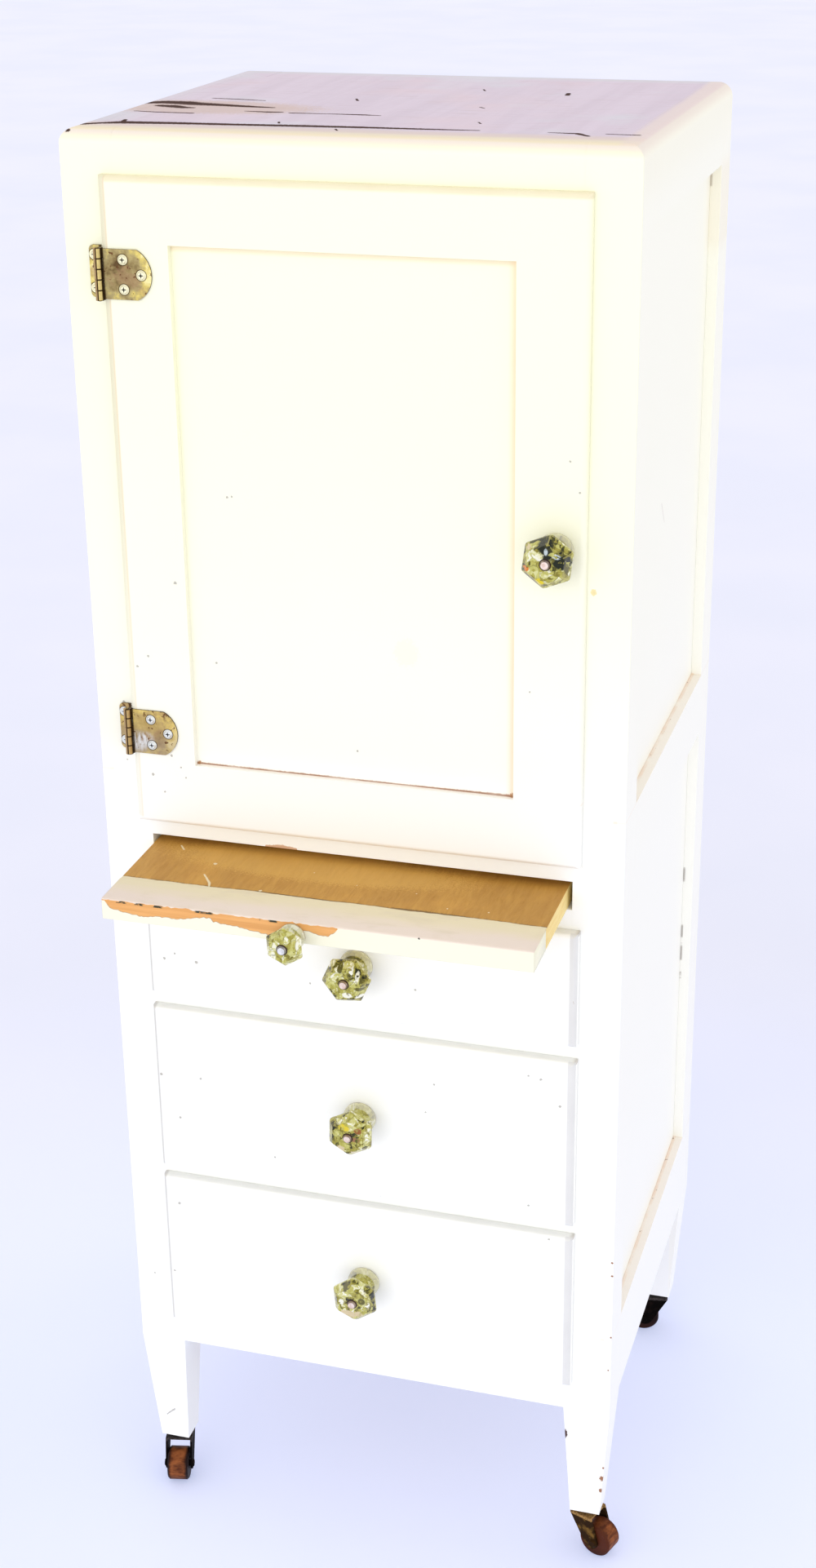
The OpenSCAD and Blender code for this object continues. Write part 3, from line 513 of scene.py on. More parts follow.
def bare_wood(name, light, dark, axis):
    """Unpainted wood whose grain runs along one axis."""
    wood = Finish(name)
    scale = tuple(2.2 if i == axis else 46.0 for i in range(3))
    grain = wood.noise(scale, 5, 0.6, bend=0.4)
    fine = wood.noise(tuple(s * 9 for s in scale), 3, 0.6)
    colour = wood.mix(grain.step(0.3, 0.72), light, dark)
    colour = wood.mix(fine.step(0.45, 0.75) * 0.25, colour, dark)
    return wood.done(colour, 0.62 + 0.12 * fine, wood.bumps(grain * 0.6 + fine * 0.4, 0.0005))


plywood = bare_wood("plywood_upright", (0.60, 0.43, 0.25), (0.42, 0.28, 0.15), 2)
pine_across, pine_deep = (bare_wood(name, (0.66, 0.47, 0.27), (0.47, 0.30, 0.16), axis)
                          for axis, name in enumerate(("pine_across", "pine_deep")))
dressed("back_panel", plywood)
for name in ("cupboard_floor", "shelf"):
    dressed(name, pine_across)
for name in ("shelf_cleats", "board_runners", "drawer_runners", "runner_guides"):
    dressed(name, pine_deep)


# Door: two stiles and two rails round a flat panel held in their grooves, lipped over the frame on all sides
# and painted. Its rounded lips are tan, partly with dirt and partly with painted shade; painted shadow lies on
# the panel under the top rail and beside the right stile, and dirt in the corners of the recess's ledge.

DOOR_Y, DOOR_LEFT, DOOR_LOW, DOOR_HIGH = -0.13425, -0.195, 0.720, 1.2615
RECESS_LEFT, RECESS_RIGHT, RECESS_LOW, RECESS_HIGH, RECESS_Y = -0.139, 0.137, 0.777, 1.2105, -0.12775


def door_marks(paint):
    """Tan along the top and left lips, part dirt and part painted shade on their rounded edges; painted shadow
    on the panel at the recess's top and right, ending in a dark painted line at the right; brown on its ledge,
    a faint painted glow of light through the knob round it, and flecks.
    """
    drift = paint.noise(24.0, 3, 0.6, shift=6.0)
    # Tan on the rounded top and left lips: part dirt, part painted shade.
    yield paint.z.step(DOOR_HIGH - 0.0056, DOOR_HIGH - 0.0032) * (0.6 + 0.5 * drift), (0.85, 0.775, 0.55)
    lip = paint.x.step(DOOR_LEFT + 0.0068, DOOR_LEFT + 0.0052)
    lip = lip * paint.z.step(DOOR_LOW + 0.003, DOOR_LOW + 0.006)
    fade = 0.35 + 0.65 * paint.z.step(0.74, 1.15)
    yield lip * fade, (0.79, 0.755, 0.555)
    yield paint.x.between(DOOR_LEFT + 0.0052, DOOR_LEFT + 0.0064, 0.0006) * lip * fade * 0.6, (0.82, 0.66, 0.46)
    panel = paint.y.step(RECESS_Y - 0.0012, RECESS_Y - 0.0004)
    panel = panel * paint.x.between(RECESS_LEFT, RECESS_RIGHT, 0.0004)
    panel = panel * paint.z.between(RECESS_LOW, RECESS_HIGH, 0.0004)
    # Painted shadow on the panel under the top rail and beside the right stile, ending in a dark painted line
    # at that stile.
    shade = paint.z.step(RECESS_HIGH - 0.0065, RECESS_HIGH - 0.003) * panel
    yield shade * (0.65 + 0.5 * drift), (0.93, 0.82, 0.60)
    yield paint.x.step(RECESS_RIGHT - 0.0085, RECESS_RIGHT) * panel * (0.65 + 0.4 * drift), (0.95, 0.74, 0.50)
    yield paint.x.step(RECESS_RIGHT - 0.0016, RECESS_RIGHT - 0.0008) * panel * 0.6, (0.66, 0.36, 0.16)
    ledge = paint.z.between(RECESS_LOW - 0.0004, RECESS_LOW + 0.0003, 0.0005)
    yield ledge * paint.y.step(DOOR_Y + 0.0008, RECESS_Y - 0.002) * (0.5 + 0.4 * drift), (0.93, 0.80, 0.70)
    dirt = paint.strokes([[(x, RECESS_Y, RECESS_LOW, wide) for x, wide in (
        (RECESS_LEFT, 0.0010), (-0.06, 0.0009), (0.06, 0.0008), (RECESS_RIGHT, 0.0014))]], 0.7)
    yield dirt * drift.step(0.2, 0.55) * 0.9, (0.42, 0.22, 0.13)
    corners = on_plane(RECESS_Y - 0.001, ((135, 778.2, 2.2), (-137.5, 778, 1.8)))
    yield paint.specks(corners, 0.6), (0.50, 0.27, 0.13)
    yield paint.spot((0.046, RECESS_Y, 0.893), (0.010, 0.004, 0.012), 0.7) * 0.3, (0.90, 0.90, 0.66)
    # Painted light: a faint yellow glow round the knob, as of light through its glass.
    yield paint.spot((0.160, DOOR_Y, 0.985), (0.030, 0.004, 0.030), 0.4) * 0.16, (0.90, 0.90, 0.66)
    flecks = ((-92, 1011, 1.1), (-148, 938, 1.5), (188, 1038, 0.9), (-185.5, 795, 1.5), (-155, 804, 1.0),
              (-186, 862, 1.0), (-176, 872, 1.1), (-160, 784, 1.2), (-152, 774, 0.9), (-178, 765, 1.3),
              (-168, 750, 0.9), (-148, 765, 0.8), (40, 838, 0.8), (180, 1062, 0.9), (150, 872, 0.8))
    sunk = ((-98, 1012.5, 1.0), (-102, 1011.8, 1.1), (3, 803, 1.0), (-118, 869, 1.1))
    marks = paint.specks(on_plane(DOOR_Y, flecks), 0.7).most(paint.specks(on_plane(RECESS_Y, sunk), 0.6))
    yield marks * 0.85, GREY_FLECK


def door_edges(middles, along):
    """0.8 mm, and next to nothing where stiles and rails meet."""
    joint = np.abs(middles[:, 0] - (RECESS_LEFT + RECESS_RIGHT) / 2) < (RECESS_RIGHT - RECESS_LEFT) / 2 + 0.001
    return np.where((np.abs(along[:, 2]) > 0.9) & joint, 0.00015, 0.0008)


door_paint = cream_paint("door_paint", door_marks)
for name in ("door_stiles", "door_rails"):
    eased(name, door_edges, door_paint)
dressed("door_panel", door_paint)


# Hinges: two surface hinges of stamped brass. A D-shaped leaf lies on the door and a narrow one on the frame,
# their knuckles rolled round one pin. The brass has tarnished olive brown, and stays yellow at its rubbed ends.

PIN_X, HINGE_Z = -0.1965, (1.187, 0.804)
# The screws of the leaves on the door, then of those on the frame: place on the leaf's front, and 1 mm.
DOOR_SCREWS = [(x, -0.13575, z + rise, 0.001) for z in HINGE_Z
               for x, rise in ((-0.1765, 0.0115), (-0.1765, -0.0115), (-0.1615, 0.0))]
FRAME_SCREWS = [(-0.2043, -0.12625, z + rise, 0.001) for z in HINGE_Z for rise in (0.013, -0.013)]


def aged_brass(name, screws=()):
    """Tarnished brass. A leaf with screws has dark rings round them, dark side walls, painted shade along its
    barrel, and a barrel painted with a bright highlight and with dark shade at its sides and knuckle gaps; the
    lower hinge is more golden, scratched and spotted with rust."""
    brass = Finish(name)
    cloud, fine = brass.noise(75.0, 3, 0.6), brass.noise(430.0, 3, 0.7, shift=3.0)
    tone = (cloud - 0.5) * 1.1 + fine * 0.34 + 0.21
    if not screws:
        colour = brass.node("ValToRGB", [tone], stops=((0.2, (0.16, 0.09, 0.04)), (0.7, (0.62, 0.48, 0.16))))
        return brass.done(colour, 0.3 + 0.2 * cloud, brass.bumps(fine, 0.0002), Metallic=1.0)
    plane, level = screws[0][1], brass.z - HINGE_Z[1]
    lower, along = brass.z.step(1.0, 0.99), (brass.x - PIN_X) * 1000.0
    worn = brass.nearest([(-0.1765, plane, z, 0.001) for z in HINGE_Z]).step(9.0, 21.0)
    tarnish = brass.node("ValToRGB", [tone + worn * 0.26 + brass.x.step(-0.166, -0.154) * 0.12], stops=(
        (0.24, (0.13, 0.08, 0.035)), (0.42, (0.31, 0.235, 0.10)), (0.58, (0.43, 0.35, 0.16)),
        (0.74, (0.72, 0.59, 0.17)), (0.88, (0.87, 0.78, 0.38))))
    golden = brass.mix(level.step(-0.012, 0.008), brass.mix(0.5, tarnish, (0.46, 0.33, 0.22)),
                       brass.mix(0.45, tarnish, (0.76, 0.53, 0.17)))
    scratched = lower * brass.nearest([(PIN_X + 0.008, plane, HINGE_Z[1] - 0.009, 0.008),
                                       (PIN_X + 0.015, plane, HINGE_Z[1] - 0.007, 0.006)]).step(1.5, 0.5)
    scuff = brass.noise((420.0, 420.0, 140.0), 4, 0.7, shift=8.0)
    rust = brass.noise(210.0, 2, 0.5, shift=11.0).step(0.54, 0.60) * lower * level.step(0.009, 0.018)
    rust = rust.most(brass.noise(260.0, 2, 0.5, shift=5.0).step(0.65, 0.70))
    ring = brass.nearest(screws)
    # The barrel is painted with a bright highlight and dark shade at its sides and in the gaps between its
    # knuckles.
    barrel = brass.y.step(plane - 0.0005, plane - 0.0012) * abs(along).step(3.9, 3.5)
    height = abs(brass.z - HINGE_Z[0]).least(abs(level)) * 1000.0
    knuckle = abs((height / 8.2 + 0.5).math("FRACT") - 0.5)
    barrel_highlight_and_shade = brass.coats(
        brass.mix(fine, (0.58, 0.44, 0.15), (0.80, 0.66, 0.28)), (lower * 0.6, (0.46, 0.27, 0.11)),
        (knuckle.step(0.40, 0.46), (0.06, 0.03, 0.012)), (along.step(-0.2, -0.7), (0.50, 0.34, 0.16)),
        (along.between(-0.5, 0.3, 0.35).most(along.step(2.6, 3.1)), (0.05, 0.026, 0.012)))
    colour = brass.coats(
        tarnish, (lower, golden),
        (brass.noise(60.0, 3, 0.6, shift=21.0).step(0.50, 0.62) * 0.45, (0.36, 0.21, 0.12)),
        (scratched * scuff.step(0.32, 0.6), (0.74, 0.73, 0.69)), (rust * 0.85, (0.13, 0.045, 0.02)),
        (ring.step(5.0, 4.4) * 0.9, (0.06, 0.035, 0.015)),
        (ring.step(4.15, 3.95), brass.mix(lower, (0.88, 0.84, 0.56), (0.78, 0.80, 0.76))),
        (brass.y.step(plane + 0.00012, plane + 0.0003) * 0.92, (0.05, 0.028, 0.012)),
        # Painted shade on the leaf along the barrel, then the barrel's painted highlight and shade.
        (along.between(-3.2, 4.0, 0.5) * 0.85, (0.07, 0.035, 0.015)), (barrel, barrel_highlight_and_shade))
    return brass.done(colour, 0.34 + 0.2 * cloud, brass.bumps(fine * 0.6 + cloud, 0.00025), Metallic=1.0)


def screw_metal(name, screws, cross):
    """A bright cross-headed screw, creamy above and bluish below, painted dark with shade in its cross and
    slots, and in a blot at their middle.
    """
    steel, plane = Finish(name), screws[0][1]
    cloud, gap = steel.noise(300.0, 3, 0.6), steel.nearest(screws)
    # Painted shade: dark in the sunk cross and in a blot at its middle.
    sunk = steel.y.step(plane - 0.0009, plane - 0.00075) * gap.step(2.3, 2.0)
    colour = steel.coats(
        steel.mix(steel.z.step(1.0, 0.99), (0.93, 0.90, 0.64), (0.80, 0.84, 0.84)),
        (cloud.step(0.5, 0.75) * 0.4, (0.45, 0.38, 0.22)),
        (sunk.most(gap.step(cross, cross * 0.65)), (0.015, 0.012, 0.01)))
    return steel.done(colour, 0.3 + 0.25 * cloud, steel.bumps(cloud, 0.0001), Metallic=0.55)


dressed("hinge_door_leaves", aged_brass("door_leaf_brass", DOOR_SCREWS))
dressed("hinge_frame_leaves", aged_brass("frame_leaf_brass", FRAME_SCREWS))
for name in ("hinge_pins", "door_catch"):
    dressed(name, aged_brass(name + "_brass"))
dressed("hinge_door_screws", screw_metal("door_screw_metal", DOOR_SCREWS, 1.7))
dressed("hinge_frame_screws", screw_metal("frame_screw_metal", FRAME_SCREWS, 0.9))


# Board: a bread board of hardwood strips glued edge to edge and varnished golden brown, with a band across its
# front on a stub tongue. The band is painted. Its paint laps over the joint and has flaked off the front edge
# down to the wood.

BAND_FRONT, LAP_Y, BOARD_TOP = -0.24175, FACE_Y - 0.0735, 0.6983


def worn_band_colour(paint):
    """Paint gone thin on the band's upper side: lilac pink at its front, greenish cream towards the joint."""
    cloud = paint.noise((24.0, 60.0, 24.0), 4, 0.6)
    back = (paint.y + (cloud - 0.5) * 0.02).step(BAND_FRONT + 0.008, LAP_Y - 0.008)
    return paint.mix(cloud.step(0.5, 0.75) * 0.5, paint.mix(back, (0.83, 0.715, 0.63), (0.80, 0.71, 0.49)),
                     (0.70, 0.60, 0.46))


def varnished_board():
    """Golden brown varnish over fine grain that runs front to back in faint strips, dirtied along the lapping
    paint, scratched and sprinkled with paint."""
    wood = Finish("board_varnish")
    grain, fleck = wood.noise((150.0, 22.0, 150.0), 5, 0.7, bend=0.8), wood.noise((520.0, 90.0, 520.0), 3, 0.65)
    wave = wood.noise((13.0, 1.0, 1.0), 2, 0.5, shift=1.0) * 0.006
    behind = wood.y - LAP_Y + (wave + wood.noise((90.0, 90.0, 1.0), 3, 0.6) * 0.0024) - 0.0042
    upper = wood.z.step(BOARD_TOP - 0.0008, BOARD_TOP - 0.0003)
    soot, dirt, nick, scrape = (wood.strokes([on_flat(BOARD_TOP, line)], ragged) for line, ragged in (
        (((52, -72, 0.6), (62, -72.5, 1.6), (75, -73, 2.2), (105, -73, 1.9), (129, -74, 0.6)), 0.8),
        (((-66, -71.5, 0.7), (-20, -73, 1.2), (12, -73, 0.6)), 0.5),
        (((-118, -53, 0.7), (-108, -67, 1.1), (-106, -73, 0.8)), 0.6),
        (((-158, -4, 0.6), (-153, -11, 0.9)), 0.5)))
    crumbs = wood.specks(on_flat(BOARD_TOP, (
        (-116.5, -31, 1.8), (-62, -70, 1.4), (96, -62, 0.8), (64, -42, 0.7), (12, -40, 0.6), (130, -60, 0.8),
        (-30, -26, 0.6))), 0.5)
    colour = wood.coats(
        wood.mix(grain.step(0.25, 0.80), (0.60, 0.325, 0.068), (0.46, 0.225, 0.040)),
        (wood.noise((11.0, 0.7, 1.0), 2, 0.5, shift=5.3).step(0.45, 0.6) * 0.3, (0.40, 0.20, 0.040)),
        (wood.noise((14.0, 14.0, 14.0), 3, 0.6, shift=2.0).step(0.5, 0.7) * 0.35, (0.70, 0.37, 0.075)),
        (fleck.step(0.55, 0.8) * 0.35, (0.30, 0.13, 0.025)),
        (wood.spot((-0.030, FACE_Y - 0.014, BOARD_TOP), (0.130, 0.030, 0.02), 0.5) * 0.5, (0.76, 0.45, 0.11)),
        (soot.most(dirt) * 0.75, (0.12, 0.065, 0.025)),
        (behind.between(0.0, 0.0012, 0.0008) * grain.step(0.3, 0.6) * 0.7, (0.20, 0.14, 0.05)),
        (nick.most(scrape).most(crumbs) * 0.85, (0.86, 0.76, 0.52)),
        (behind.step(0.0005, -0.0005) * upper, worn_band_colour(wood)))
    colour = wood.mix(upper, wood.mix(grain.step(0.3, 0.7), (0.93, 0.75, 0.33), (0.86, 0.63, 0.22)), colour)
    return wood.done(colour, 0.42 + 0.2 * fleck, wood.bumps(grain * 0.6 + fleck * 0.4, 0.0004),
                     Specular_IOR_Level=0.25)


def band_paint():
    """White paint, worn on the band's upper side, and bare wood with a dark rim where it flaked, along the
    flake's
    lower edge: part dirt and part painted shadow at the paint's broken edge.
    """
    paint = Finish("band_paint")
    cloud, bare = paint.noise(22.0, 4, 0.6), paint.trait("bare")
    grain = paint.noise((9.0, 260.0, 260.0), 4, 0.6)
    # The rim: a dark line along the lower edge of the flake, part dirt and part painted shadow at the paint's
    # broken edge.
    rim = bare.between(0.2, 0.7, 0.15) * paint.z.step(BOARD_TOP - 0.006, BOARD_TOP - 0.0035).step(1.0, 0.0)
    gaps = paint.x.between(-0.172, -0.128, 0.004).most(paint.x.between(-0.100, -0.088, 0.003))
    gaps = gaps.most(paint.x.between(-0.044, -0.032, 0.003))
    black = gaps * paint.noise(140.0, 2, 0.6, shift=9.0).step(0.42, 0.52)
    black = black * paint.z.between(BOARD_TOP - 0.0026, BOARD_TOP - 0.0010, 0.0004)
    colour = paint.coats(
        paint.mix(paint.z.step(BOARD_TOP - 0.0016, BOARD_TOP - 0.0005), (0.90, 0.885, 0.72),
                  worn_band_colour(paint)),
        (bare.step(0.42, 0.58), paint.mix(grain.step(0.3, 0.7), (0.86, 0.45, 0.155), (0.70, 0.33, 0.095))),
        (rim * 0.6, (0.30, 0.13, 0.05)),
        (black * paint.y.step(BAND_FRONT + 0.0012, BAND_FRONT + 0.0004), (0.035, 0.04, 0.02)),
        (paint.specks([(0.088, BAND_FRONT, BOARD_TOP - 0.001, 0.0009)]), (0.1, 0.09, 0.07)))
    return paint.done(colour, 0.38 + 0.2 * cloud, paint.bumps(grain * bare * 0.4 + cloud, 0.0004),
                      Specular_IOR_Level=0.4)


def ring_faces(rings, around, steps):
    """The faces over so many steps from each ring of points to the next, the last ring being followed by
    the first."""
    i, j = np.meshgrid(np.arange(steps), np.arange(around), indexing="ij")
    k, m = (i + 1) % rings, (j + 1) % around
    return np.stack((i * around + j, i * around + m, k * around + m, k * around + j), -1).reshape(-1, 4)


def chipped_band(finish):
    """The band as one closed surface: a rounded rectangle of depth and height swept along the width. Over its
    front, down to a broken line from the left end to 20 mm past the middle, it lies 0.35 mm deeper."""
    low, high = (np.array(corner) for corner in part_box("board_front_band"))
    r, flake = 0.0012, 0.00035
    arc = np.linspace(0, np.pi / 2, 5)
    profile = [(low[1] + r - r * np.cos(a), high[2] - r + r * np.sin(a)) for a in arc]
    profile += [(y, high[2]) for y in np.linspace(low[1] + r, high[1], 12)[1:]]
    profile += [(high[1], z) for z in np.linspace(high[2], low[2], 5)[1:]]
    profile += [(y, low[2]) for y in np.linspace(high[1], low[1] + r, 8)[1:]]
    profile += [(low[1] + r - r * np.sin(a), low[2] + r - r * np.cos(a)) for a in arc[1:]]
    profile += [(low[1], z) for z in np.linspace(low[2] + r, high[2] - r, 44)[1:-1]]
    y, z = np.array(profile).T
    x = np.linspace(low[0], high[0], 560)
    rng = np.random.default_rng(7)
    # How far below the band's upper side the bare wood reaches, in mm, at places along x.
    edge_x, edge = np.array((
        (-190, 2), (-181, 2), (-176, 8), (-165, 10.3), (-150, 12), (-130, 10), (-118, 10.5), (-110, 9.5),
        (-100, 7), (-92, 6), (-88, 6.2), (-86, 9), (-75, 10), (-62, 11), (-50, 13), (-40, 14), (-30, 13),
        (-20, 10), (-12, 7), (-6, 6.5), (0, 8), (6, 9.5), (12, 9), (17, 5), (20.5, 1.5), (21, -3),
        (190, -3))).T / 1e3
    lower, upper = (np.interp(x, np.linspace(x[0], x[-1], corners), rng.normal(0, 0.0004, corners))
                    for corners in (180, 120))
    lower, upper = lower + high[2] - np.interp(x, edge_x, edge), upper + high[2] - 0.0009
    bare = np.clip((z[None] - lower[:, None]) / 0.0005 + 0.5, 0, 1)
    bare = bare * np.clip((upper[:, None] - z[None]) / 0.0004 + 0.5, 0, 1)
    bare = np.where((y < low[1] + r * 1.01)[None], bare, 0)
    points = np.empty((len(x), len(y), 3))
    points[..., 0], points[..., 1], points[..., 2] = x[:, None], y[None] + flake * bare, z[None]
    faces = ring_faces(len(x), len(y), len(x) - 1)
    made = solid("board_front_band_chipped", points, faces, finish, 0.9, {"bare": bare})
    ends = bmesh.new()
    ends.from_mesh(made.data)
    bmesh.ops.holes_fill(ends, edges=[e for e in ends.edges if e.is_boundary], sides=0)
    bmesh.ops.recalc_face_normals(ends, faces=ends.faces)
    ends.to_mesh(made.data)
    ends.free()
    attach(made, "board")
    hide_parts("board_front_band")


eased("board_panel", 0.0008, varnished_board())
chipped_band(band_paint())


# Drawers: lipped fronts with rounded lips, painted like the door, on pine boxes that stay bare. Painted grey
# shade lies along each upper lip and down the side lips, and the paint is flecked where hands miss the knob.

DRAWER_TOPS = (0.661, 0.539, 0.362)


def drawer_marks(paint):
    """Painted grey shade along the upper lips, darkest at their ends, and along the left and right lips, and
    flecks; x, height and radius in mm.
    """
    drift = paint.noise(26.0, 3, 0.6, shift=6.0)
    for top in DRAWER_TOPS:
        # Painted shade along each upper lip, darkest at its ends.
        lip = paint.z.between(top - 0.0024, top + 0.001, 0.0008) * paint.y.step(-0.1335, -0.1315)
        yield lip * (0.35 + 0.5 * drift), (0.74, 0.735, 0.69)
        yield lip * abs(paint.x).step(0.188, 0.194) * 0.7, (0.45, 0.40, 0.33)
    # Painted shade along the left and right lips.
    edge = paint.x.step(-0.1890, -0.1912) * paint.y.step(-0.126, -0.1275)
    yield edge * (0.75 + 0.4 * drift), (0.61, 0.60, 0.575)
    edge = paint.x.between(0.1868, 0.1928, 0.0012) * paint.y.step(-0.1305, -0.1318)
    yield edge * (0.6 + 0.4 * drift), (0.68, 0.68, 0.68)
    flecks = ((-178, 589, 1.3), (-168, 595, 1.0), (-148, 589, 1.4), (52, 590, 1.1), (-43, 583, 0.9),
              (20, 538, 1.0), (68, 499, 1.0), (152, 521, 0.9), (163, 519, 1.2), (180, 495, 1.3),
              (-188, 470, 1.5), (-150, 471, 1.2), (-172, 427, 1.2), (153, 390, 1.1), (-82, 400, 0.9),
              (17, 375, 0.9), (-190, 371, 0.8), (98, 362, 1.0), (172, 358, 1.0), (-178, 334, 1.4),
              (-196, 319, 0.9), (-187, 258, 1.1), (-187, 201, 1.0), (60, 470, 0.8))
    yield paint.specks(on_plane(DOOR_Y, flecks), 0.7) * 0.85, GREY_FLECK
    yield paint.strokes([on_plane(DOOR_Y, ((190, 598, 0.4), (192, 593, 0.8)))], 0.8), (0.30, 0.20, 0.12)


drawer_paint = cream_paint("drawer_paint", drawer_marks)
for i in "123":
    eased(f"drawer_{i}_front", 0.0008, drawer_paint)
    dressed(f"drawer_{i}_sides", pine_deep)
    dressed(f"drawer_{i}_bottom", plywood)


# Knobs: pressed glass with six sides, a flat front, a narrow neck and a round flared foot, each held by
# a bolt through its middle. The glass is greenish yellow, and its broken reflections are painted into its
# colour.

KNOB_FRONTS = on_plane(-0.17125, ((170, 990.75, 1.0), (0, 607, 1.0), (0, 456, 1.0), (0, 281.75, 1.0)))
# The strongest reflections of each large knob: x, height, half width and half height in mm, colour.
BLACK, CREAM, ORANGE, LEMON = (0.018, 0.022, 0.012), (0.90, 0.90, 0.80), (0.72, 0.22, 0.03), (0.74, 0.60, 0.04)
TAN, MOSS, SMOKE = (0.66, 0.55, 0.34), (0.12, 0.11, 0.025), (0.55, 0.64, 0.66)
REFLECTIONS = (
    (170, 1005, 6.5, 7, BLACK), (183, 993, 8, 6, BLACK), (172, 996, 4, 4, BLACK), (179, 997.5, 3.2, 2, SMOKE),
    (170.5, 1001, 1.5, 3, SMOKE), (154.5, 986.5, 3, 2.2, ORANGE), (165.5, 976.5, 3.5, 3.5, LEMON),
    (155, 1003, 3.5, 2, TAN), (186, 988, 1.5, 5, MOSS), (7, 620, 1.8, 4.5, CREAM), (12, 615, 1.6, 4.5, CREAM),
    (3, 597, 4.5, 2.6, CREAM), (14, 596, 4, 2, CREAM), (-14, 622, 2, 3, CREAM), (16, 611, 2.2, 5, MOSS),
    (14, 604, 5, 1.8, MOSS), (-3, 622, 2.4, 5, MOSS), (14.7, 447, 2, 2, BLACK), (-17, 463, 1.5, 4, MOSS),
    (-13.5, 456, 1.2, 4, BLACK), (9.5, 464, 3.4, 3, (0.30, 0.11, 0.03)), (7, 455, 4.5, 2.2, (0.34, 0.17, 0.08)),
    (-3, 466, 5, 4, LEMON), (-10, 444, 8, 3.6, TAN), (4, 440, 5, 3, TAN), (-5, 270, 9, 4.5, TAN),
    (6, 272, 4, 3, TAN), (-7, 297, 2.6, 3.5, MOSS), (13, 297, 3.5, 3, MOSS), (9, 286, 3.5, 3.5, MOSS),
    (-10, 282.5, 2.4, 3.2, CREAM), (14, 282, 1.8, 3, CREAM))


def knob_glass(name, paler, reflections=()):
    """Tinted glass with its reflections and refractions painted into its colour: angular shards from nearly
    black through olive to white; paler is added to their tone, and so is each facet's own. Larger painted
    reflections lie over the shards, and the foot is painted pale, as the white paint behind it shows through."""
    glass = Finish(name)
    warp = glass.node("TexNoise", {"Vector": glass.place, "Scale": 70.0, "Detail": 2.0}, output="Color")
    place = glass.vector("ADD", [glass.place, glass.vector("SCALE", {0: warp, "Scale": 0.010})])
    shard, chip = (glass.node("TexVoronoi", {"Vector": place, "Scale": scale}, output="Color",
                              distance="MANHATTAN") for scale in (130.0, 360.0))
    line = glass.node("TexVoronoi", {"Vector": place, "Scale": 130.0}, output="Distance",
                      feature="DISTANCE_TO_EDGE")
    large, small = glass.node("SeparateColor", [shard]), glass.node("SeparateColor", [chip], output=1)
    streak = glass.noise((300.0, 120.0, 90.0), 3, 0.6, bend=2.0)
    tone = large * 0.62 + small * 0.50 + streak * 0.30 + glass.trait("light") * 0.26 - 0.34 + paler
    olive = glass.node("ValToRGB", [tone], stops=(
        (0.10, (0.015, 0.018, 0.010)), (0.22, (0.10, 0.095, 0.022)), (0.36, (0.32, 0.28, 0.05)),
        (0.54, (0.46, 0.43, 0.09)), (0.72, (0.58, 0.57, 0.18)), (0.88, (0.74, 0.73, 0.38)),
        (0.99, (0.90, 0.90, 0.74))))
    lit = small.step(0.1, 0.4)
    # Painted reflections from the table lie over the shards.
    painted_reflections = [(glass.spot((x / 1e3, -0.1690, z / 1e3), (wide / 1e3, 0.011, high / 1e3), 0.3) * lit, tint)
             for x, z, wide, high, tint in reflections]
    colour = glass.coats(
        olive, (line.step(0.04, 0.01) * 0.5, (0.09, 0.08, 0.02)),
        (glass.trait("waist") * 0.5, (0.50, 0.45, 0.04)), *painted_reflections,
        (glass.trait("reach").between(-2.0, 0.25, 0.2), (0.05, 0.03, 0.02)),
        # The foot is painted pale, as the white paint behind it shows through the glass.
        (glass.trait("rim") * 0.5, (0.50, 0.45, 0.14)), (glass.trait("foot") * 0.6, (0.82, 0.80, 0.64)),
        (glass.trait("brim") * small.step(0.3, 0.6) * 0.6, (0.28, 0.20, 0.13)))
    return glass.done(colour, 0.10 + 0.15 * streak, glass.bumps(small, 0.0002), Transmission_Weight=0.08,
                      Specular_IOR_Level=0.15)


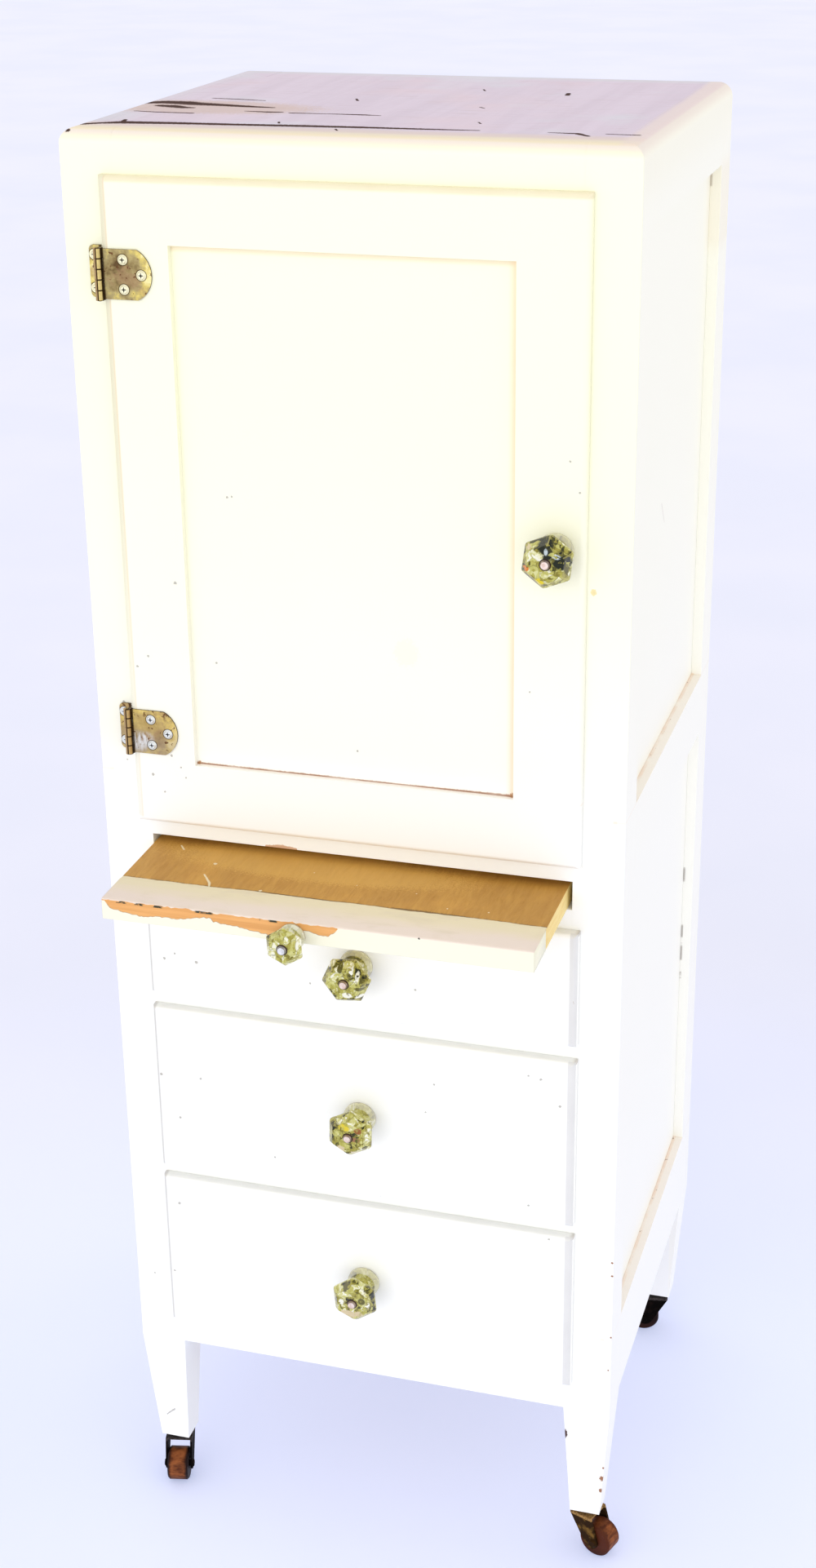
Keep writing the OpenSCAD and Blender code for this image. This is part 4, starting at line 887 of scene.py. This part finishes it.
def pressed_knob(name, body, across, turn, finish):
    """A closed surface round the knob's axis: stations (radius, share of the length, squareness) with small
    arrises, from the bolt hole over the front to the foot and back. Radius r at angle a from a corner becomes
    r cos 30 / cos(a - 30) on the hexagon, a being taken within 60 degrees."""
    low, high = (np.array(corner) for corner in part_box(name))
    length, middle = high[1] - low[1], (low + high)[[0, 2]] / 2
    hole, arris, r = 0.0022, 0.0005, across / 2
    ring = np.array(((hole, 1.0, 0), (0.0053, 1.0, 0), (0.735 * r, 1.0, 1), (r, 0.80, 1), (r, 0.72, 1),
                     (0.51 * r, 0.38, 1), (0.455 * r, 0.27, 0.3), (0.55 * r, 0.17, 0), (0.665 * r, 0.10, 0),
                     (0.67 * r, 0.03, 0), (0.645 * r, 0.0, 0), (hole, 0.0, 0)))
    stations = []
    for back, here, ahead in zip(np.roll(ring, 1, 0), ring, np.roll(ring, -1, 0)):
        for other in (back, ahead):
            gap = np.hypot(other[0] - here[0], (other[1] - here[1]) * length)
            stations.append(here + (other - here) * min(arris / gap, 0.3))
    radius, out, square = np.array(stations).T[:, :, None]
    angle = np.linspace(0, 2 * np.pi, 96, endpoint=False)
    within = angle % (np.pi / 3) - np.pi / 6
    hexagon = np.minimum(np.cos(np.pi / 6) / np.cos(within), 0.985)
    spread = radius * ((1 - square) + square * hexagon)
    every, turned = np.ones_like(spread), angle - np.radians(turn)
    points = np.stack((middle[0] + spread * np.cos(turned), (high[1] - out * length) * every,
                       middle[1] + spread * np.sin(turned)), -1)
    count = len(out)
    i, rng = np.arange(count)[:, None], np.random.default_rng(sum(map(ord, name)))
    light = rng.uniform(0, 1, (count // 2 + 1, 6))[(i + 1) // 2, (angle // (np.pi / 3)).astype(int)]
    traits = {
        "light": np.where(i < 4, 0.75, np.where((i > 6) & (i < 9), 0.9, light)),
        "rim": (square > 0.5) & (np.abs(np.abs(within) - np.pi / 6) < 0.05)[None],
        "reach": np.where(out > 0.99, (radius - 0.0044) / 0.0009, 9.0),
        "foot": np.clip((0.27 - out) / 0.1, 0, 1),
        "waist": np.clip(1 - np.abs(out - 0.45) / 0.28, 0, 1),
        "brim": (out > 0.012) & (out < 0.085) & (radius > 0.6 * r)}
    made = solid(name + "_pressed", points, ring_faces(count, len(angle), count), finish, 0.3,
                 {key: values * every for key, values in traits.items()})
    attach(made, body)
    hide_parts(name)


def bolt_metal(name, middle_tone, edge_tone, fronts):
    """The domed head of a bolt, bright in the middle and dark where it turns down to its washer."""
    metal = Finish(name)
    cloud = metal.noise(260.0, 3, 0.6)
    colour = metal.coats(middle_tone, (cloud.step(0.4, 0.7) * 0.5, edge_tone),
                         (metal.nearest(fronts).step(3.7, 4.2), (0.06, 0.03, 0.025)))
    return metal.done(colour, 0.25 + 0.2 * cloud, metal.bumps(cloud, 0.0001), Metallic=0.8)


olive_glass = knob_glass("knob_glass_olive", 0.0, REFLECTIONS)
pressed_knob("door_knob", "door", 0.044, 38, olive_glass)
pressed_knob("board_knob", "board", 0.0335, 27, knob_glass("knob_glass_pale", 0.20))
for i, turn in ((1, 54), (2, 32), (3, 25)):
    pressed_knob(f"drawer_{i}_knob", f"drawer_{i}", 0.044, turn, olive_glass)
copper = bolt_metal("bolt_copper", (0.95, 0.80, 0.70), (0.55, 0.30, 0.18), KNOB_FRONTS)
for name in ("door_knob_bolt", "drawer_1_bolt", "drawer_2_bolt", "drawer_3_bolt"):
    dressed(name, copper)
dressed("board_knob_screw", bolt_metal("bolt_silver", (0.90, 0.91, 0.93), (0.35, 0.36, 0.38),
                                       [(-0.018, -0.26775, 0.6858, 0.001)]))


# Casters: forged crowns with two horns and a riveted axle, turning in steel sockets let into the legs, and
# turned wooden wheels, dark with grease on their sides and worn orange brown on their treads.

def caster_iron(name, dark, light, metal, centre):
    """Old iron, or brass gone nearly black: dark, with a painted highlight along the crown's upper edge."""
    iron = Finish(name)
    cloud, fine = iron.noise(120.0, 4, 0.6), iron.noise(600.0, 3, 0.6)
    # A painted highlight along the crown's upper edge, away from the swivel's axis.
    crown_highlight = iron.z.between(0.0405, 0.0432, 0.0006) * (iron.away(centre) * 1000.0).step(5.0, 8.0)
    colour = iron.coats(dark, (cloud.step(0.45, 0.72), light),
                        (crown_highlight * fine.step(0.25, 0.6), tuple(2.0 * part + 0.04 for part in light)))
    return iron.done(colour, 0.50 + 0.25 * cloud, iron.bumps(cloud + fine * 0.3, 0.0003), Metallic=metal,
                     Specular_IOR_Level=0.03)


def wheel_wood(name, middle, axle, width, flank):
    """Turned hardwood: the tread lies within half the width of the middle, measured along the axle."""
    wood = Finish(name)
    cloud = wood.noise((90.0, 90.0, 240.0), 4, 0.6)
    off = wood.vector("SUBTRACT", [wood.place, middle])
    along = abs(wood.vector("DOT_PRODUCT", [off, axle], "Value")) / width
    colour = wood.coats(
        wood.mix(cloud.step(0.3, 0.7), (0.29, 0.088, 0.026), (0.075, 0.018, 0.006)),
        ((along + (cloud - 0.5) * 0.12).step(0.27, 0.46), flank),
        # Painted shade darkens the wheel towards the floor.
        (wood.z.step(0.014, 0.001) * 0.75, (0.03, 0.008, 0.004)))
    return wood.done(colour, 0.42 + 0.15 * cloud, wood.bumps(cloud, 0.0003), Specular_IOR_Level=0.1)


joints = {joint["name"]: joint for joint in frame["joints"]}
WHEEL_WIDTH = 0.020
# Of the front right caster, then of the others: dark and light tones, how metallic, and the wheel's flank.
RUSTY = (0.035, 0.016, 0.005), (0.22, 0.12, 0.028), 0.8, (0.078, 0.018, 0.007)
GREASY = (0.002, 0.0013, 0.001), (0.010, 0.005, 0.004), 0.0, (0.012, 0.004, 0.003)
for corner in ("fl", "fr", "rl", "rr"):
    roll, swivel = joints[f"caster_{corner}_roll"], joints[f"caster_{corner}_swivel"]
    *tones, flank = RUSTY if corner == "fr" else GREASY
    dressed(f"caster_fork_{corner}", caster_iron(f"caster_iron_{corner}", *tones, swivel["pos_m"]))
    dressed(f"caster_wheel_{corner}",
            wheel_wood(f"wheel_wood_{corner}", roll["pos_m"], roll["axis"], WHEEL_WIDTH, flank))
socket = Finish("socket_steel")
mottle = socket.noise(150.0, 3, 0.6)
steel = socket.mix(mottle, (0.30, 0.28, 0.27), (0.60, 0.58, 0.58))
dressed("caster_sockets", socket.done(steel, 0.35 + 0.2 * mottle, socket.bumps(mottle, 0.0002), Metallic=0.9))
